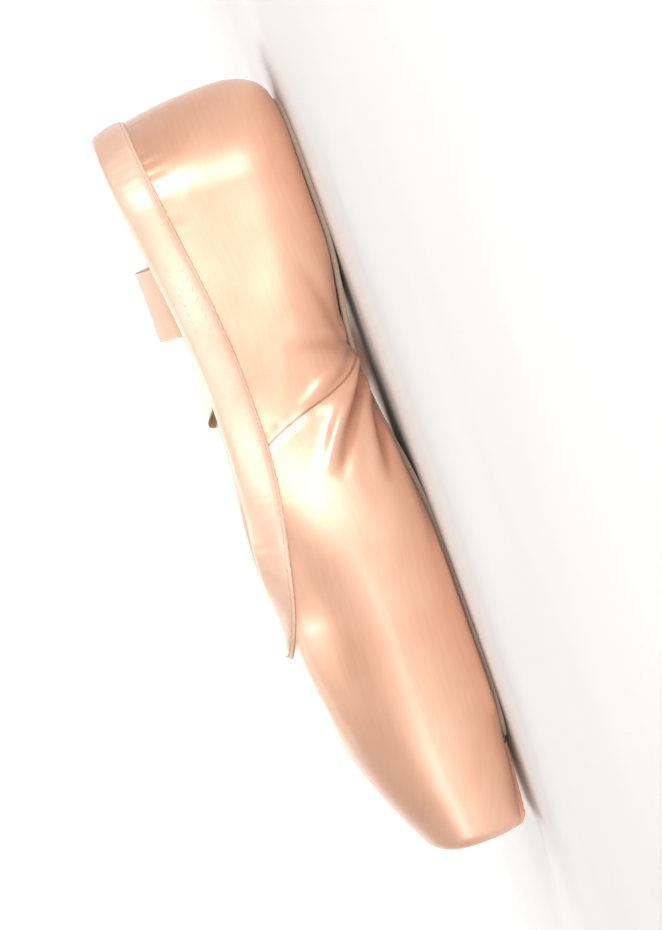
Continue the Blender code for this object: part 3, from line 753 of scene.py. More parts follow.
def fold_place(run, rise, fold):
    """Signed distance from a fold's curve, with the share of the way along it."""
    line = fold_line(fold)
    best, place, side = np.full(run.shape, np.inf), np.zeros(run.shape), np.zeros(run.shape)
    for k in range(len(line) - 1):
        step = line[k + 1] - line[k]
        ahead = np.clip(((run - line[k, 0]) * step[0] + (rise - line[k, 1]) * step[1]) / step.dot(step), 0, 1)
        away = run - line[k, 0] - ahead * step[0], rise - line[k, 1] - ahead * step[1]
        distance = np.hypot(*away)
        nearer = distance < best
        best = np.where(nearer, distance, best)
        place = np.where(nearer, (k + ahead) / (len(line) - 1), place)
        side = np.where(nearer, np.sign(step[0] * away[1] - step[1] * away[0]), side)
    return best * side, place


def fold_relief(run, rise, fold):
    """Height of one crest with the hollow under it, and the hollow's depth, which sets its painted shade;
    both fade out at the ends.
    """
    offset, place = fold_place(run, rise, fold)
    width, height = fold[6] * MM, fold[7] * MM
    fade = np.sin(math.pi * np.clip(0.12 + 0.88 * place, 0, 1)) ** 0.8
    shaded_hollow = fade * bump(offset + 1.7 * width, 0.9 * width)
    return height * (fade * bump(offset, width) - 0.6 * shaded_hollow), shaded_hollow * fold[7]


def swell_relief(run, rise, swell):
    """Height of a broad swell that fades out all round."""
    offset, place = fold_place(run, rise, swell)
    return swell[7] * MM * bump(offset, swell[6] * MM) * (0.35 + 0.65 * np.sin(math.pi * place))


def satin_relief(run, rise, drop, total, side):
    """How far the satin stands off the last, how much painted shade its hollows get from 0 to 1, and how far
    the seam is.
    """
    loose = 1 - TIGHT_SHARE * ease(between(run, TIGHT_START, TIGHT_END))
    near_collar = ease(drop / COLLAR_CALM)
    height, along, up = BROAD_WAVE
    relief = height * loose * near_collar * waves(run / along, rise / up, 5 + side)
    height, along, up = FINE_WAVE
    relief += height * near_collar * waves(run / along, rise / up, 15 + side)
    # Painted shade from 0 to 1: the folds' hollows and the channel beside the sole, darkened in the satin's
    # colour.
    shaded_hollow = np.zeros(run.shape)
    for fold in FOLDS:
        height, depth = fold_relief(run, rise, fold)
        relief += height * near_collar
        shaded_hollow += depth
    for swell in SWELLS:
        relief += swell_relief(run, rise, swell) * near_collar
    beside = ease(between(run, EDGE_START, EDGE_FULL)) * (1 - ease(between(run, EDGE_FADE, EDGE_END)))
    relief += EDGE_BULGE * beside * bump(rise - EDGE_BULGE_RISE, EDGE_BULGE_WIDTH)
    channel = beside * bump(rise - EDGE_CHANNEL_RISE, EDGE_CHANNEL_WIDTH)
    relief -= EDGE_CHANNEL * channel
    shaded_hollow += channel
    share = np.clip(rise / np.maximum(total, 1e-6), 0, 1)
    seam = run - mix(SEAM_FOOT, SEAM_TOP, share) - SEAM_SWAY * np.sin(2 * math.pi * share)
    step = ease(seam / SEAM_WIDTH + 0.5) * bump(np.maximum(seam, 0), SEAM_STEP_FADE)
    relief += SEAM_STEP * step * near_collar
    relief -= SEAM_GROOVE * bump(seam, SEAM_WIDTH)
    above, ahead = rise - KNOT_RISE, run - SEAM_FOOT
    spokes = np.sin(KNOT_SPOKES * np.arctan2(above, ahead))
    relief += KNOT_HEIGHT * spokes * bump(np.hypot(ahead, above) - KNOT_RADIUS, KNOT_WIDTH)
    sway = 2.2 * waves(run / 0.03, 0.0, 8)
    gathers = GATHER_HEIGHT * np.sin(2 * math.pi * run / GATHER_STEP + sway)
    gathers = gathers * bump(drop - GATHER_DROP, GATHER_WIDTH)
    relief += gathers * (1 - ease(between(run, GATHER_FULL, GATHER_END)))
    return relief, np.clip(shaded_hollow, 0, 1), seam


def skin_measures(rows):
    """Run, rise, drop from the collar and the whole rise of each point of the half last's rows."""
    climb = arc(rows, axis=1)
    widest = int(np.argmax(rows[len(rows) // 2, :, 1]))
    heel = int(np.argmax(rows[:, widest, 0] >= HEEL_CENTRE - 1e-9))
    around = arc(rows[: heel + 1, widest : widest + 1], axis=0)[:, 0]
    run = rows[:, widest, 0].copy()
    run[: heel + 1] = HEEL_CENTRE + around - around[-1]
    run = np.broadcast_to(run[:, None], climb.shape)
    stations = rows[:, widest, 0]
    edge = np.array([sole_half_width(x) if x > HEEL_CENTRE else SOLE_HEEL_WIDTH / 2 for x in stations])
    edge[stations > SOLE_FRONT - SOLE_CORNER] = SOLE_FRONT_WIDTH / 2
    top = climb[:, -1:]
    return run, climb - edge[:, None], top - climb, top - edge[:, None]


def make_satin(look):
    """The satin skin: both halves of the last with their folds, turned over the collar's edge."""
    half, closed = half_skin(SKIN_COUNTS)
    run, rise, drop, total = skin_measures(half)
    plain = placed(half)
    normals = outward(plain)
    box = ease(between(run, 0.100, 0.150))
    edges = ease(rise / 0.004 + 0.75) * ease(drop / 0.003 + 0.4 + box)
    platform = ease(between(run, LENGTH - RIM_RADIUS, LENGTH - PLATFORM_CALM))
    top_middle = np.where(half[:, :1, 0] >= THROAT_STATION, ease(half[..., 1] / MIDDLE_CALM), 1.0)
    back = np.where(run < 0.0, ease(half[..., 1] / BACK_CALM), 1.0)
    turns = (0.25, 0.6, 1.0)
    pad = ((0, 0), (0, len(turns)))
    points, faces, cloth, values = [], [], [], {"seam": [], "shaded_hollow": []}
    for side in (1, -1):
        relief, shaded_hollow, seam = satin_relief(run, rise, drop, total, side)
        relief = relief * edges * platform * top_middle * back
        whole = plain + normals * relief[..., None]
        edge = whole[:, -1:]
        turned = [edge - normals[:, -1:] * WALL * turn for turn in turns]
        grid = np.concatenate([whole] + [np.where(closed[:, None, None], edge, t) for t in turned], axis=1)
        faces += shifted(grid_faces(*grid.shape[:2]), len(points))
        points += list((grid * (1, side, 1)).reshape(-1, 3))
        back_seam = half[..., 1] / MM
        values["seam"].append(np.pad(np.where(run < 0.02, back_seam, seam / MM), pad, "edge").ravel())
        # The painted shade of the hollows, kept as an attribute for the satin's colour.
        values["shaded_hollow"].append(np.pad(shaded_hollow, pad, "edge").ravel())
        cloth.append(cloth_points(np.pad(run, pad, "edge"), np.pad(side * (rise + CLOTH_SHIFT), pad, "edge")))
    values = {label: np.concatenate(numbers) for label, numbers in values.items()}
    piece = new_piece("upper_satin", points, faces, look, values, np.concatenate(cloth))
    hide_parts("upper")


def make_lining(look):
    """The cotton lining inside, a wall's thickness in from the satin, a little creased."""
    half, _ = half_skin(LINING_COUNTS, fineness=0.5)
    run, rise, drop, _ = skin_measures(half)
    points, faces, cloth = [], [], []
    grid = placed(half)
    normals = outward(grid)
    calm = ease(drop / 0.012)
    _, along, up = FINE_WAVE
    for side in (1, -1):
        creases = 0.00025 * waves(run / along, rise / up, 30 + side) * calm * ease(rise / 0.004 + 0.5)
        creases = creases - 0.0002 * calm
        inner = (grid - normals * (WALL - creases * ease(half[..., 1] / 0.004))[..., None]) * (1, side, 1)
        faces += shifted(grid_faces(*inner.shape[:2]), len(points))
        points += list(inner.reshape(-1, 3))
        cloth.append(cloth_points(run, side * (rise + CLOTH_SHIFT)))
    piece = new_piece("upper_lining", points, faces, look, cloth=np.concatenate(cloth))
    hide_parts("upper")


# The binding
def skin_tree():
    """The whole last, closed at the top, to lay pieces on."""
    counts = (3, 14, 40)
    rows = [heel_section(turn, closed=True, counts=counts) for turn in np.linspace(math.pi / 2, 0, 31)[:-1]]
    for station in np.linspace(HEEL_CENTRE, LENGTH - RIM_RADIUS, 150):
        rows.append(standing(station, closed=True, counts=counts))
    half = placed(rows)
    whole = np.concatenate([half[:, ::-1], half[:, 1:] * (1, -1, 1)], axis=1)
    faces = grid_faces(*whole.shape[:2])
    return BVHTree.FromPolygons([Vector(point) for point in whole.reshape(-1, 3)], faces)


def collar_loop(steps):
    """Evenly spaced points round the outer edge of the collar, from the back to the throat and round."""
    edge = [heel_section(turn)[-1] for turn in np.linspace(math.pi / 2, 0, 40)[:-1]]
    throat = throat_stations(90)
    for station in np.concatenate([np.linspace(HEEL_CENTRE, throat[0], 60)[:-1], throat]):
        edge.append([station, *section(station)[-1]])
    half = placed(edge)
    half[0, 1] = half[-1, 1] = 0.0
    loop = np.concatenate([half, half[-2::-1] * (1, -1, 1)])
    return resample(loop, steps)[:-1]


def march(tree, edge, tangent, down):
    """Places and outward normals at each distance down the skin from a point of the collar."""
    place = Vector(edge)
    _, normal, _, _ = tree.find_nearest(place)
    if normal.dot(place - Vector((place.x, 0, place.z / 2))) < 0:
        normal = -normal
    away = Vector(tangent).cross(normal).normalized()
    found, gone = [], 0.0
    for distance in down:
        place, turned, _, _ = tree.find_nearest(place + away * (distance - gone))
        normal = turned if turned.dot(normal) > 0 else -turned
        away = (away - normal * away.dot(normal)).normalized()
        gone = distance
        found.append((place.copy(), normal.copy()))
    return found


def smooth_ring(values, reach):
    """Values round a closed loop, each averaged with its neighbours."""
    weights = np.array([math.exp(-((k / reach) ** 2)) for k in range(-2 * reach, 2 * reach + 1)])
    weights /= weights.sum()
    return sum(w * np.roll(values, k - 2 * reach, axis=0) for k, w in enumerate(weights))


class Collar:
    """The collar's edge with the skin below it: rows of places and normals round the loop."""

    DOWN = np.linspace(0, 1.3 * BINDING_WIDTH, 27)

    def __init__(self, steps):
        tree = skin_tree()
        self.loop = collar_loop(steps)
        tangents = np.roll(self.loop, 1, axis=0) - np.roll(self.loop, -1, axis=0)
        marched = [march(tree, e, t, self.DOWN) for e, t in zip(self.loop, tangents)]
        self.places = smooth_ring(np.array([[p for p, _ in row] for row in marched]), 2)
        self.normals = unit(smooth_ring(np.array([[n for _, n in row] for row in marched]), 5))
        self.up = unit(self.places[:, 0] - self.places[:, 1])
        self.length = np.linalg.norm(np.roll(self.loop, -1, axis=0) - self.loop, axis=1).sum()

    def at(self, share, down, out):
        """A point a share of the way round, some way down the skin and out from it."""
        count = len(self.loop)
        i, t = int(share * count) % count, share * count - int(share * count)
        j = (i + 1) % count
        k = np.interp(down, self.DOWN, np.arange(len(self.DOWN)))
        low, part = int(k), k - int(k)
        high = min(low + 1, len(self.DOWN) - 1)
        here, beside = (mix(self.places[n, low], self.places[n, high], part) for n in (i, j))
        place = mix(here, beside, t) - self.up[i] * min(down, 0.0)
        normal = mix(self.normals[i, low], self.normals[j, low], t)
        return place + normal / np.linalg.norm(normal) * out


# The tape: how far its edge and its puffed middle stand out, and how far its stitches are from its edge
TAPE_EDGE, TAPE_PUFF, TAPE_STITCH = 0.00045, 0.00125, 0.0009
# The groove of its stitches and the puckers between them
TAPE_GROOVE, TAPE_GROOVE_WIDTH = 0.00025, 0.0005
TAPE_PUCKER, TAPE_PUCKER_WIDTH, TAPE_RIPPLE = 0.00004, 0.0016, 0.00018
# How far it stands off the lining and how high it rolls over the collar's edge
TAPE_INSIDE, TAPE_ROLL = 0.0009, 0.0019
# Radii of the threads, and how far the slant of a hand stitch takes it down
MACHINE_THREAD, HAND_THREAD, INNER_THREAD = 0.00016, 0.00015, 0.00014
HAND_SLANT = 0.0012


def tape_height(down):
    """How far the tape's face stands off the skin, some way down from the collar, and its puff."""
    reach = (BINDING_WIDTH - TAPE_STITCH - down) / (BINDING_WIDTH * 1.15)
    puff = np.sin(math.pi * np.clip(reach, 0, 1)) ** 0.6
    groove = bump(down - (BINDING_WIDTH - TAPE_STITCH), TAPE_GROOVE_WIDTH)
    return BINDING_GAP + TAPE_EDGE + (TAPE_PUFF - TAPE_EDGE) * puff - TAPE_GROOVE * groove, puff


def make_binding(collar, look):
    """A puffy satin tape folded over the collar, puckered between its stitches."""
    steps = len(collar.loop)
    outer = np.linspace(BINDING_WIDTH, 0.0, 18)
    plain, puff = tape_height(outer)
    along = np.arange(steps) / steps * collar.length
    station = collar.loop[:, 0] + LENGTH / 2
    tight = 1 - ease(between(station, 0.015, 0.035)) + ease(between(station, 0.105, 0.150))
    edge_fold = np.clip((BINDING_WIDTH - outer) / 0.0004, 0, 1) ** 0.5
    sunk = BINDING_GAP * 0.6
    rows = []
    for i in range(steps):
        phase = 2 * math.pi * along[i] / STITCH_STEP
        lines = waves(np.array(along[i] / 0.0042), outer / 0.012, 44) * (0.00001 + 0.00005 * tight[i])
        stitched = bump(outer - (BINDING_WIDTH - TAPE_STITCH), TAPE_PUCKER_WIDTH)
        thick = plain + TAPE_PUCKER * math.sin(phase) * stitched + lines * puff
        thick = sunk + (thick - sunk) * edge_fold
        ripple = TAPE_RIPPLE * math.sin(phase + 0.8) * (outer > BINDING_WIDTH - 0.0001)
        row = [collar.at(i / steps, d + r, t) for d, r, t in zip(outer, ripple, thick)]
        high, low = thick[-1], -WALL - BINDING_GAP - TAPE_INSIDE
        centre, reach = (high + low) / 2, (high - low) / 2
        base, normal, up = collar.places[i, 0], collar.normals[i, 0], collar.up[i]
        for turn in np.linspace(0, math.pi, 9)[1:-1]:
            row.append(base + normal * (centre + reach * math.cos(turn)) + up * TAPE_ROLL * math.sin(turn))
        for down in np.linspace(0, BINDING_INNER, 7):
            sink = 0.0005 * bump(down - BINDING_INNER + TAPE_STITCH, TAPE_GROOVE_WIDTH)
            row.append(collar.at(i / steps, down, low + sink))
        for down, out in ((BINDING_INNER, -WALL - 0.0002), (0.0, -WALL / 2), (BINDING_WIDTH, 0.0001)):
            row.append(collar.at(i / steps, down, out))
        rows.append(row)
    rows = np.array(rows + rows[:1])
    round_loop = np.repeat(np.append(along, collar.length)[:, None], rows.shape[1], 1)
    cloth = cloth_points(round_loop, np.repeat(arc(rows, axis=1)[:1], len(rows), 0))
    points, faces = rows.reshape(-1, 3), grid_faces(*rows.shape[:2], ring=True)
    piece = new_piece("binding_tape", points, faces, look, cloth=cloth)
    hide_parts("binding")


def make_binding_stitches(collar, look):
    """Machine stitches along the tape's lower edge, outside and inside."""
    count = int(collar.length / STITCH_STEP)
    paths = []
    for k in range(count):
        for down, out, lift in (
            (BINDING_WIDTH - TAPE_STITCH, BINDING_GAP + 0.00055, 0.00022),
            (BINDING_INNER - TAPE_STITCH, -WALL - BINDING_GAP - 0.00075, -0.00022),
        ):
            shares = [(k + part) / count for part in (0.10, 0.25, 0.5, 0.75, 0.90)]
            heights = (-0.8, 0.5, 1.0, 0.5, -0.8)
            paths.append([collar.at(s, down, out + lift * h) for s, h in zip(shares, heights)])
    threads("binding_stitches", paths, MACHINE_THREAD, look)


def make_ribbon_stitches(collar, look):
    """Small slanted hand stitches through the binding, where the ribbons are sewn on behind it."""
    paths = []
    for route in RIBBON_ROUTES.values():
        sign = math.copysign(1, route[0][1])
        beside = collar.loop[:, 1] * sign > 0
        for shift in np.arange(-RIBBON_WIDTH / 2 + 0.0015, RIBBON_WIDTH / 2, HAND_STITCH * 1.5):
            distance = np.where(beside, np.abs(collar.loop[:, 0] - route[0][0] - shift), 1)
            share = np.argmin(distance) / len(collar.loop)
            step = HAND_STITCH / collar.length
            for down, lean in ((0.0026, 1), (0.0068, -1)):
                path = []
                for end, sunk in zip((-0.5, -0.25, 0, 0.25, 0.5), (0.20, 0.04, 0.0, 0.04, 0.20)):
                    depth = down + lean * end * HAND_SLANT
                    path.append(collar.at(share + end * step, depth, tape_height(depth)[0] - sunk * MM))
                paths.append(path)
    threads("ribbon_stitches", paths, HAND_THREAD, look)


def make_inner_stitches(look):
    """The rectangle of hand stitches that holds each ribbon to the lining."""
    paths = []
    for route in RIBBON_ROUTES.values():
        line, width, face = ribbon_frame(route, RIBBON_STEPS)
        inward = face * (np.sign(-line[:, 1]) * np.sign(face[:, 1]))[:, None]
        along = lengths(line)

        def spot(distance, share, out):
            i = int(np.searchsorted(along, distance))
            return line[i] + width[i] * share * RIBBON_WIDTH / 2 + inward[i] * out

        corners = [(0.0012, -0.86), (0.0012, 0.86), (0.0085, 0.86), (0.0085, -0.86), (0.0012, -0.86)]
        for (d0, s0), (d1, s1) in zip(corners, corners[1:]):
            reach = math.hypot(d1 - d0, (s1 - s0) * RIBBON_WIDTH / 2)
            count = max(int(reach / HAND_STITCH / 1.4), 1)
            for k in range(count):
                shares = (k + np.array([0.15, 0.3, 0.5, 0.7, 0.85])) / count
                lifts = RIBBON_THICKNESS / 2 + np.array([-0.1, 0.08, 0.12, 0.08, -0.1]) * MM
                paths.append([spot(mix(d0, d1, t), mix(s0, s1, t), o) for t, o in zip(shares, lifts)])
    threads("inner_stitches", paths, INNER_THREAD, look)


# Sole and insole
OUTSOLE_ROUNDNESS, INSOLE_ROUNDNESS, CLOTH_THICKNESS = 0.0006, 0.0009, 0.0004


def eased_stations(start, end, count, back, front):
    """Stations from start to end, closer together in the round back and the front corners."""
    turn = np.linspace(0, math.pi / 2, PLATE_END_ROWS)
    rear, fore = start + back * (1 - np.cos(turn)), end - front * (1 - np.sin(turn))
    return np.unique(np.concatenate([rear, np.linspace(start + back, end - front, count), fore]).round(6))


def plate(name, look, along, half, low, high, roundness):
    """A thin plate along the shoe between two heights, with a rounded edge."""
    columns = PLATE_COLUMNS
    shares = np.sin(np.linspace(-math.pi / 2, math.pi / 2, columns))
    sides = np.array([half(station) for station in along])
    x = np.repeat(along[:, None], columns, axis=1)
    y = sides[:, None] * shares
    outline = np.concatenate([np.column_stack([along, sides]), np.column_stack([along, -sides])[::-1]])
    outline = resample(outline, 500)
    distance = np.min(np.hypot(x[..., None] - outline[:, 0], y[..., None] - outline[:, 1]), axis=2)
    distance[0] = distance[-1] = 0.0
    distance[:, 0] = distance[:, -1] = 0.0
    inside = np.clip(1 - distance / roundness, 0, 1)
    curve = roundness * (1 - np.sqrt(1 - inside**2))
    lows = np.array([low(s) for s in along])[:, None] + curve
    highs = np.array([high(s) for s in along])[:, None] - curve
    halfway = (lows + highs) / 2
    lows, highs = np.minimum(lows, halfway), np.maximum(highs, halfway)
    points, faces, cloth, cut = [], [], [], []
    for heights, flip in ((lows, False), (highs, True)):
        grid = placed(np.stack([x, y, heights], axis=2))
        more = grid_faces(*grid.shape[:2])
        faces += shifted([f[::-1] for f in more] if flip else more, len(points))
        points += list(grid.reshape(-1, 3))
        cloth.append(cloth_points(x, y))
        cut.append(inside.ravel())
    rows = len(along)
    ring = [i * columns for i in range(rows)] + [(rows - 1) * columns + j for j in range(1, columns)]
    ring += [i * columns + columns - 1 for i in reversed(range(rows - 1))]
    ring += reversed(range(1, columns - 1))
    base = rows * columns
    for a, b in zip(ring, ring[1:] + ring[:1]):
        faces.append((a, b, b + base, a + base))
    # Nearness to the edge, 1 at the outline: the suede's look paints its edge highlight with it.
    values = {"cut": np.concatenate(cut)}
    return new_piece(name, points, faces, look, values, np.concatenate(cloth))


def make_outsole(look):
    def high(station):
        return sole_lift(station) + SOLE_THICKNESS

    along = eased_stations(SOLE_BACK, SOLE_FRONT, 110, SOLE_HEEL_REACH, SOLE_CORNER)
    piece = plate("outsole_suede", look, along, sole_half_width, sole_lift, high, OUTSOLE_ROUNDNESS)
    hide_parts("outsole")


def make_insole(look):
    """The cloth-covered board inside, rounded at its edge."""
    start, end = SOLE_BACK + INSOLE_INSET, SOLE_FRONT - INSOLE_INSET

    def half(station):
        share = between(station, start, end)
        return max(sole_half_width(mix(SOLE_BACK, SOLE_FRONT, share)) - INSOLE_INSET, 0.0)

    def low(station):
        return underside(station) + WALL + GAP

    def high(station):
        return low(station) + INSOLE_THICKNESS + CLOTH_THICKNESS

    along = eased_stations(start, end, 90, SOLE_HEEL_REACH, SOLE_CORNER)
    piece = plate("insole_cloth", look, along, half, low, high, INSOLE_ROUNDNESS)
    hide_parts("insole")


# Under the toe: the cover's lift off the skin, how thick it is and its rise beside the seams
TOE_SEAM_RADIUS = 0.00048
TOE_PUCKER = 0.0026
TOE_LIFT, TOE_THICKNESS, TOE_ROLL, TOE_PUCKER_HEIGHT = 0.00004, 0.00055, 0.00045, 0.00016
TOE_HALF = 0.016


def panel_half_width(station):
    share = np.clip(between(station, SOLE_FRONT, LENGTH), 0, 1)
    return mix(PANEL_WIDTH, PANEL_WAIST, math.sin(math.pi * share)) / 2


def panel_rows(shares, count=44):
    """Points under the toe, from the outsole's front edge to the platform, with their normals."""
    rows = []
    places = [(station, 0.0) for station in np.linspace(SOLE_FRONT + PANEL_GAP, LENGTH - RIM_RADIUS, count)]
    places += [rim_place(turn) for turn in np.radians(np.linspace(6, 78, 14))]
    for station, inset in places:
        line = section(station, inset=inset)
        line = line[: SKIN_COUNTS[0] + SKIN_COUNTS[1]]
        out = shares * panel_half_width(station)
        rows.append([[station, side, np.interp(abs(side), line[:, 0], line[:, 1])] for side in out])
    rows = placed(rows)
    normals = unit(np.cross(np.gradient(rows, axis=1), np.gradient(rows, axis=0)))
    return rows, normals * -np.sign(normals[..., 2:])


def make_toe_cover(look):
    """The satin cover under the toe, dished between the raised seams along its sides."""
    shares = np.sin(np.linspace(-1, 1, 46) * math.pi / 2)
    rows, normals = panel_rows(shares)
    count, columns = rows.shape[:2]
    along = arc(rows, axis=0)[:, columns // 2]
    inward = (1 - np.abs(shares))[None, :]
    puckers = np.sin(2 * math.pi * along / TOE_PUCKER)[:, None] * bump(inward * TOE_HALF, 0.0045)
    puckers = puckers * ease(between(along, along[-1] - 0.012, along[-1] - 0.004))[:, None]
    thick = GAP + TOE_THICKNESS + TOE_ROLL * bump(inward * TOE_HALF, 0.0012) + TOE_PUCKER_HEIGHT * puckers
    thick = thick * np.clip(inward / 0.02, 0, 1) ** 0.5
    thick = thick * (1 - ease(between(along, along[-1] - 0.0045, along[-1])))[:, None]
    outer = rows + normals * (thick + TOE_LIFT)[..., None]
    inner = rows + normals * TOE_LIFT
    points = list(outer.reshape(-1, 3)) + list(inner.reshape(-1, 3))
    size = count * columns
    faces = grid_faces(count, columns)
    faces += shifted([f[::-1] for f in faces], size)
    for a in range(columns - 1):
        for first in (a, size - columns + a):
            faces.append((first, first + 1, first + 1 + size, first + size))
    cloth = cloth_points(np.repeat(along[:, None], columns, 1), rows[..., 1])
    piece = new_piece("toe_cover", points, faces, look, cloth=np.concatenate([cloth, cloth]))
    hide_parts("toe_panel")


def make_toe_seams(look):
    """The raised seam along each side of the cover, which sinks in at the platform's corner."""
    rows, normals = panel_rows(np.array([-1.0, 1.0]), 60)
    points, faces = [], []
    for j in range(2):
        along = arc(rows[:, j : j + 1], axis=0)[:, 0]
        left = along[-1] - along
        swell = TOE_SEAM_RADIUS * (1 + 0.04 * np.sin(2 * math.pi * along / TOE_PUCKER))
        swell *= 0.25 + 0.75 * ease(np.minimum(along / 0.004, left / 0.008))
        lift = 0.20 * TOE_SEAM_RADIUS - 0.75 * TOE_SEAM_RADIUS * (1 - ease(left / 0.006))
        more, sides = tube(rows[:, j] + normals[:, j] * lift[:, None], swell, 12)
        faces += shifted(sides, len(points))
        points += more
    new_piece("toe_seams", points, faces, look)


# Ribbons
def smooth_route(route, count):
    given = np.array(route, float)
    padded = np.concatenate([[2 * given[0] - given[1]], given, [2 * given[-1] - given[-2]]])
    found = []
    for place in np.linspace(0, len(given) - 1, count):
        i = min(int(place), len(given) - 2)
        t = place - i
        a, b, c, d = padded[i : i + 4]
        square, cube = 2 * a - 5 * b + 4 * c - d, 3 * b - a - 3 * c + d
        found.append(0.5 * (2 * b + (c - a) * t + square * t**2 + cube * t**3))
    return np.array(found)


def softened(values, reach):
    """Each value averaged with its neighbours, more with the near ones."""
    weights = np.hanning(2 * reach + 3)
    around = np.pad(values, reach + 1, "edge")
    return np.convolve(around, weights / weights.sum(), "valid")


def ribbon_frame(route, count):
    """The middle line of a ribbon with its width and face directions."""
    line = smooth_route(route, count)
    middle_line = line[:, :3].copy()
    heading, tilt = np.radians(line[:, 3]), np.radians(line[:, 4])
    wanted = np.column_stack([np.cos(heading) * np.cos(tilt), np.sin(heading) * np.cos(tilt), np.sin(tilt)])
    on_floor = np.abs(np.sin(tilt)) * RIBBON_WIDTH / 2 + np.abs(np.cos(tilt)) * RIBBON_THICKNESS + LAID_GAP
    height = np.maximum(line[:, 2], on_floor)
    middle_line[:, 2] = np.where(height > SOFT_BELOW, height, softened(height, max(count // 50, 1)))
    for _ in range(2):
        tangent = unit(np.gradient(middle_line, axis=0))
        width = unit(wanted - tangent * np.sum(wanted * tangent, axis=1, keepdims=True))
        face = np.cross(tangent, width)
        lowest = np.abs(width[:, 2]) * RIBBON_WIDTH / 2 + np.abs(face[:, 2]) * RIBBON_THICKNESS + GAP / 3
        middle_line[:, 2] = np.maximum(middle_line[:, 2], lowest)
    return middle_line, width, face


# The ribbons' firm edges, ripple and slanted cut
EDGE_SHARES = (0.90, 0.93, 0.985, 1.0)
EDGE_THICK, MIDDLE_THICK, LAST_THICK = 0.9, 0.62, 0.35
RIPPLE, RIPPLE_LENGTH, LOOSE_LIFT, CUT_LENGTH = 0.0003, 0.034, 0.0008, 0.006


def make_ribbon(side, look):
    """A limp satin ribbon, sewn inside the collar and loose on the floor, with firm woven edges."""
    line, width, face = ribbon_frame(RIBBON_ROUTES[side], RIBBON_STEPS)
    edge = np.array(EDGE_SHARES)
    shares = np.concatenate([-edge[::-1], np.linspace(-0.85, 0.85, 11), edge])
    half_thick = RIBBON_THICKNESS / 2 * np.where(np.abs(shares) > 0.92, EDGE_THICK, MIDDLE_THICK)
    half_thick[[0, -1]] *= LAST_THICK
    along = lengths(line)
    flat = line[:, None] + width[:, None] * (shares * RIBBON_WIDTH / 2)[None, :, None]
    loose = ease(between(along, 0.150, 0.190)) * ease(between(along, along[-1] - 0.004, along[-1] - 0.040))
    ripple = RIPPLE * waves(along[:, None] / RIPPLE_LENGTH, 0.35 * shares[None], 61) * loose[:, None]
    lift = np.abs(face[:, 2]) * loose * LOOSE_LIFT
    flat = flat + face[:, None] * ripple[..., None] + lift[:, None, None] * np.array([0, 0, 1.0])
    cut = np.clip((along - along[-1] + CUT_LENGTH) / CUT_LENGTH, 0, 1)[:, None]
    cut = cut * (shares[None] * 0.5 + 0.5) * CUT_LENGTH
    flat = flat - unit(np.gradient(line, axis=0))[:, None] * cut[..., None]
    upper = flat + face[:, None] * half_thick[None, :, None]
    lower = flat - face[:, None] * half_thick[None, :, None]
    ring = np.concatenate([upper, lower[:, ::-1]], axis=1)
    count, columns = ring.shape[:2]
    faces = grid_faces(count, columns, ring=True)
    faces += [tuple(range(columns)), tuple(reversed(range(count * columns - columns, count * columns)))]
    both = np.repeat(np.concatenate([shares, shares[::-1]])[None], count, 0)
    cloth = cloth_points(np.repeat(along[:, None], columns, 1), both * RIBBON_WIDTH / 2)
    name = f"ribbon_{side}_satin"
    piece = new_piece(name, ring.reshape(-1, 3), faces, look, {"edge": np.abs(both)}, cloth)
    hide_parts(f"ribbon_{side}")
    tuple(line[0])
    [tuple(p) for p in line]


# Setting
def aim(thing, target, roll=0.0):
    direction = Vector(target) - thing.location
    turned = direction.to_track_quat("-Z", "Y").to_matrix().to_4x4() @ Matrix.Rotation(roll, 4, "Z")
    thing.rotation_euler = turned.to_euler()


CAMERA_AZIMUTH, CAMERA_ELEVATION, CAMERA_ROLL = 184.0, 2.5, 110.0
CAMERA_LENS, CAMERA_DISTANCE = 120.0, 0.92
CAMERA_TARGET = (0.000, 0.0, 0.022)


def make_camera():
    """Looks at the shoe's side from just above the floor, rolled so that the toe points down."""
    camera = bpy.data.objects.new("camera", bpy.data.cameras.new("camera"))
    bpy.context.scene.collection.objects.link(camera)
    turn, rise = math.radians(CAMERA_AZIMUTH), math.radians(CAMERA_ELEVATION)
    back = Vector((math.sin(turn) * math.cos(rise), -math.cos(turn) * math.cos(rise), math.sin(rise)))
    camera.location = Vector(CAMERA_TARGET) + back * CAMERA_DISTANCE
    aim(camera, CAMERA_TARGET, -math.radians(CAMERA_ROLL))
    camera.data.lens = CAMERA_LENS
    camera.data.clip_start = 0.01
    bpy.context.scene.camera = camera


LIGHTS = [
    # name, place, target, width, depth, power, colour
    ("key", (-0.50, 1.00, 0.34), (0, 0, 0.02), 0.25, 0.60, 7.6, (1.0, 0.98, 0.96)),
    ("top", (0.10, 0.00, 1.30), (0, 0, 0.02), 1.00, 0.22, 5.8, (1.0, 0.99, 0.97)),
    ("fill", (0.95, 0.85, 0.25), (0, 0, 0.02), 0.40, 0.40, 1.4, (1.0, 0.98, 0.96)),
    ("side", (0.45, 0.95, 0.20), (0.04, 0.03, 0.01), 1.20, 0.05, 2.4, (1.0, 0.98, 0.96)),
    ("back", (-0.10, -1.00, 0.65), (0, 0, 0.02), 1.00, 0.40, 3.5, (1.0, 0.98, 0.95)),
    ("wall", (0.0, -1.30, 1.90), (0.0, -3.2, 0.3), 2.00, 0.60, 60.0, (1.0, 1.0, 1.0)),
]
WORLD_STRENGTH = 0.20
STAGE_REACH, STAGE_CURVE, STAGE_HEIGHT = 2.2, 1.2, 3.2


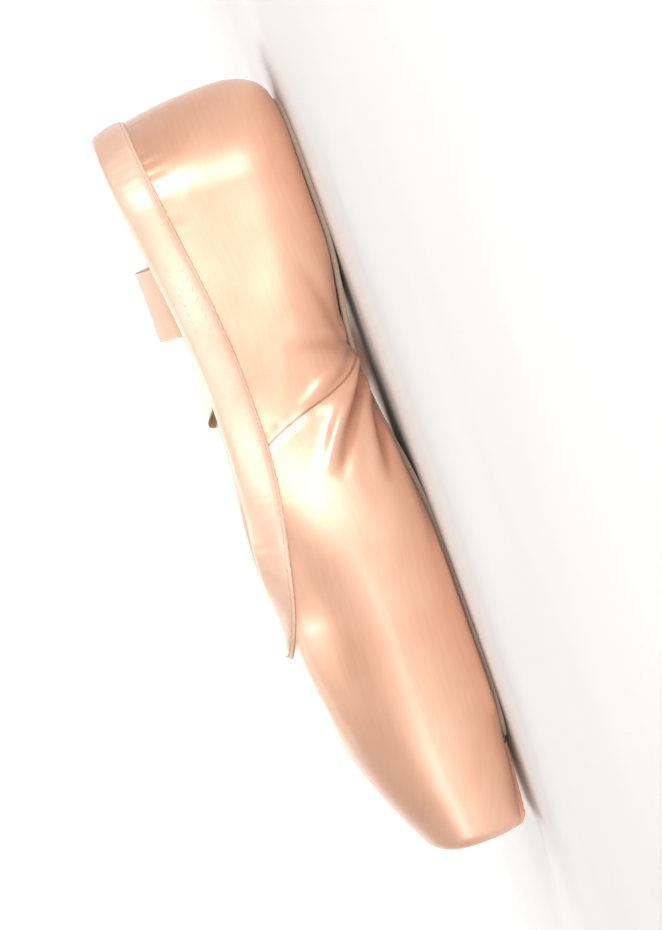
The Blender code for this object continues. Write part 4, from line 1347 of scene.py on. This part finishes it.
def make_lights():
    for name, place, target, width, depth, power, colour in LIGHTS:
        lamp = bpy.data.lights.new(name, "AREA")
        lamp.shape = "RECTANGLE"
        lamp.size, lamp.size_y, lamp.energy, lamp.color = width, depth, power, colour
        light = bpy.data.objects.new(name, lamp)
        bpy.context.scene.collection.objects.link(light)
        light.location = place
        aim(light, target)
        light.visible_camera = False
    world = bpy.data.worlds.new("studio")
    bpy.context.scene.world = world
    world.use_nodes = True
    background = world.node_tree.nodes["Background"]
    background.inputs["Color"].default_value = (1.0, 0.99, 0.98, 1)
    background.inputs["Strength"].default_value = WORLD_STRENGTH
    bpy.context.scene.view_settings.view_transform = "Standard"


def make_floor():
    """A pale paper floor that curves up into a round backdrop far behind the shoe."""
    profile = [(0.0, 0.0), (STAGE_REACH / 2, 0.0)]
    for turn in np.linspace(0, math.pi / 2, 12):
        profile.append((STAGE_REACH + STAGE_CURVE * math.sin(turn), STAGE_CURVE * (1 - math.cos(turn))))
    profile.append((STAGE_REACH + STAGE_CURVE, STAGE_HEIGHT))
    turns = np.linspace(0, 2 * math.pi, 73)
    rows = [[(r * math.cos(t), r * math.sin(t), z) for t in turns] for r, z in profile]
    look, tree, shader = nodes_of("floor_paper")
    finished(look, tree, shader, cloudy(tree, 9, 2, 0.3, (0.84, 0.84, 0.835), (0.87, 0.87, 0.865)), [], 0.9)
    mesh = bpy.data.meshes.new("floor")
    mesh.from_pydata([p for row in rows for p in row], [], grid_faces(len(rows), len(turns)))
    mesh.materials.append(look)
    mesh.shade_smooth()
    floor = bpy.data.objects.new("floor", mesh)
    bpy.context.scene.collection.objects.link(floor)


def main():
    make_camera()
    ribbon_look = ribbon_satin()
    for side in RIBBON_ROUTES:
        make_ribbon(side, ribbon_look)
    satin_look, lining_look, tape_look = satin("upper_satin_look"), cotton(), tape_satin()
    make_satin(satin_look)
    make_lining(lining_look)
    collar = Collar(BINDING_STEPS)
    make_binding(collar, tape_look)
    thread = thread_look("pale_thread", (0.88, 0.64, 0.50))
    make_binding_stitches(collar, thread)
    make_ribbon_stitches(collar, thread)
    make_inner_stitches(thread)
    make_outsole(suede())
    make_insole(lining_look)
    toe_look = satin("toe_satin_look", seams=False)
    make_toe_cover(toe_look)
    make_toe_seams(toe_look)
    make_floor()
    make_lights()


main()
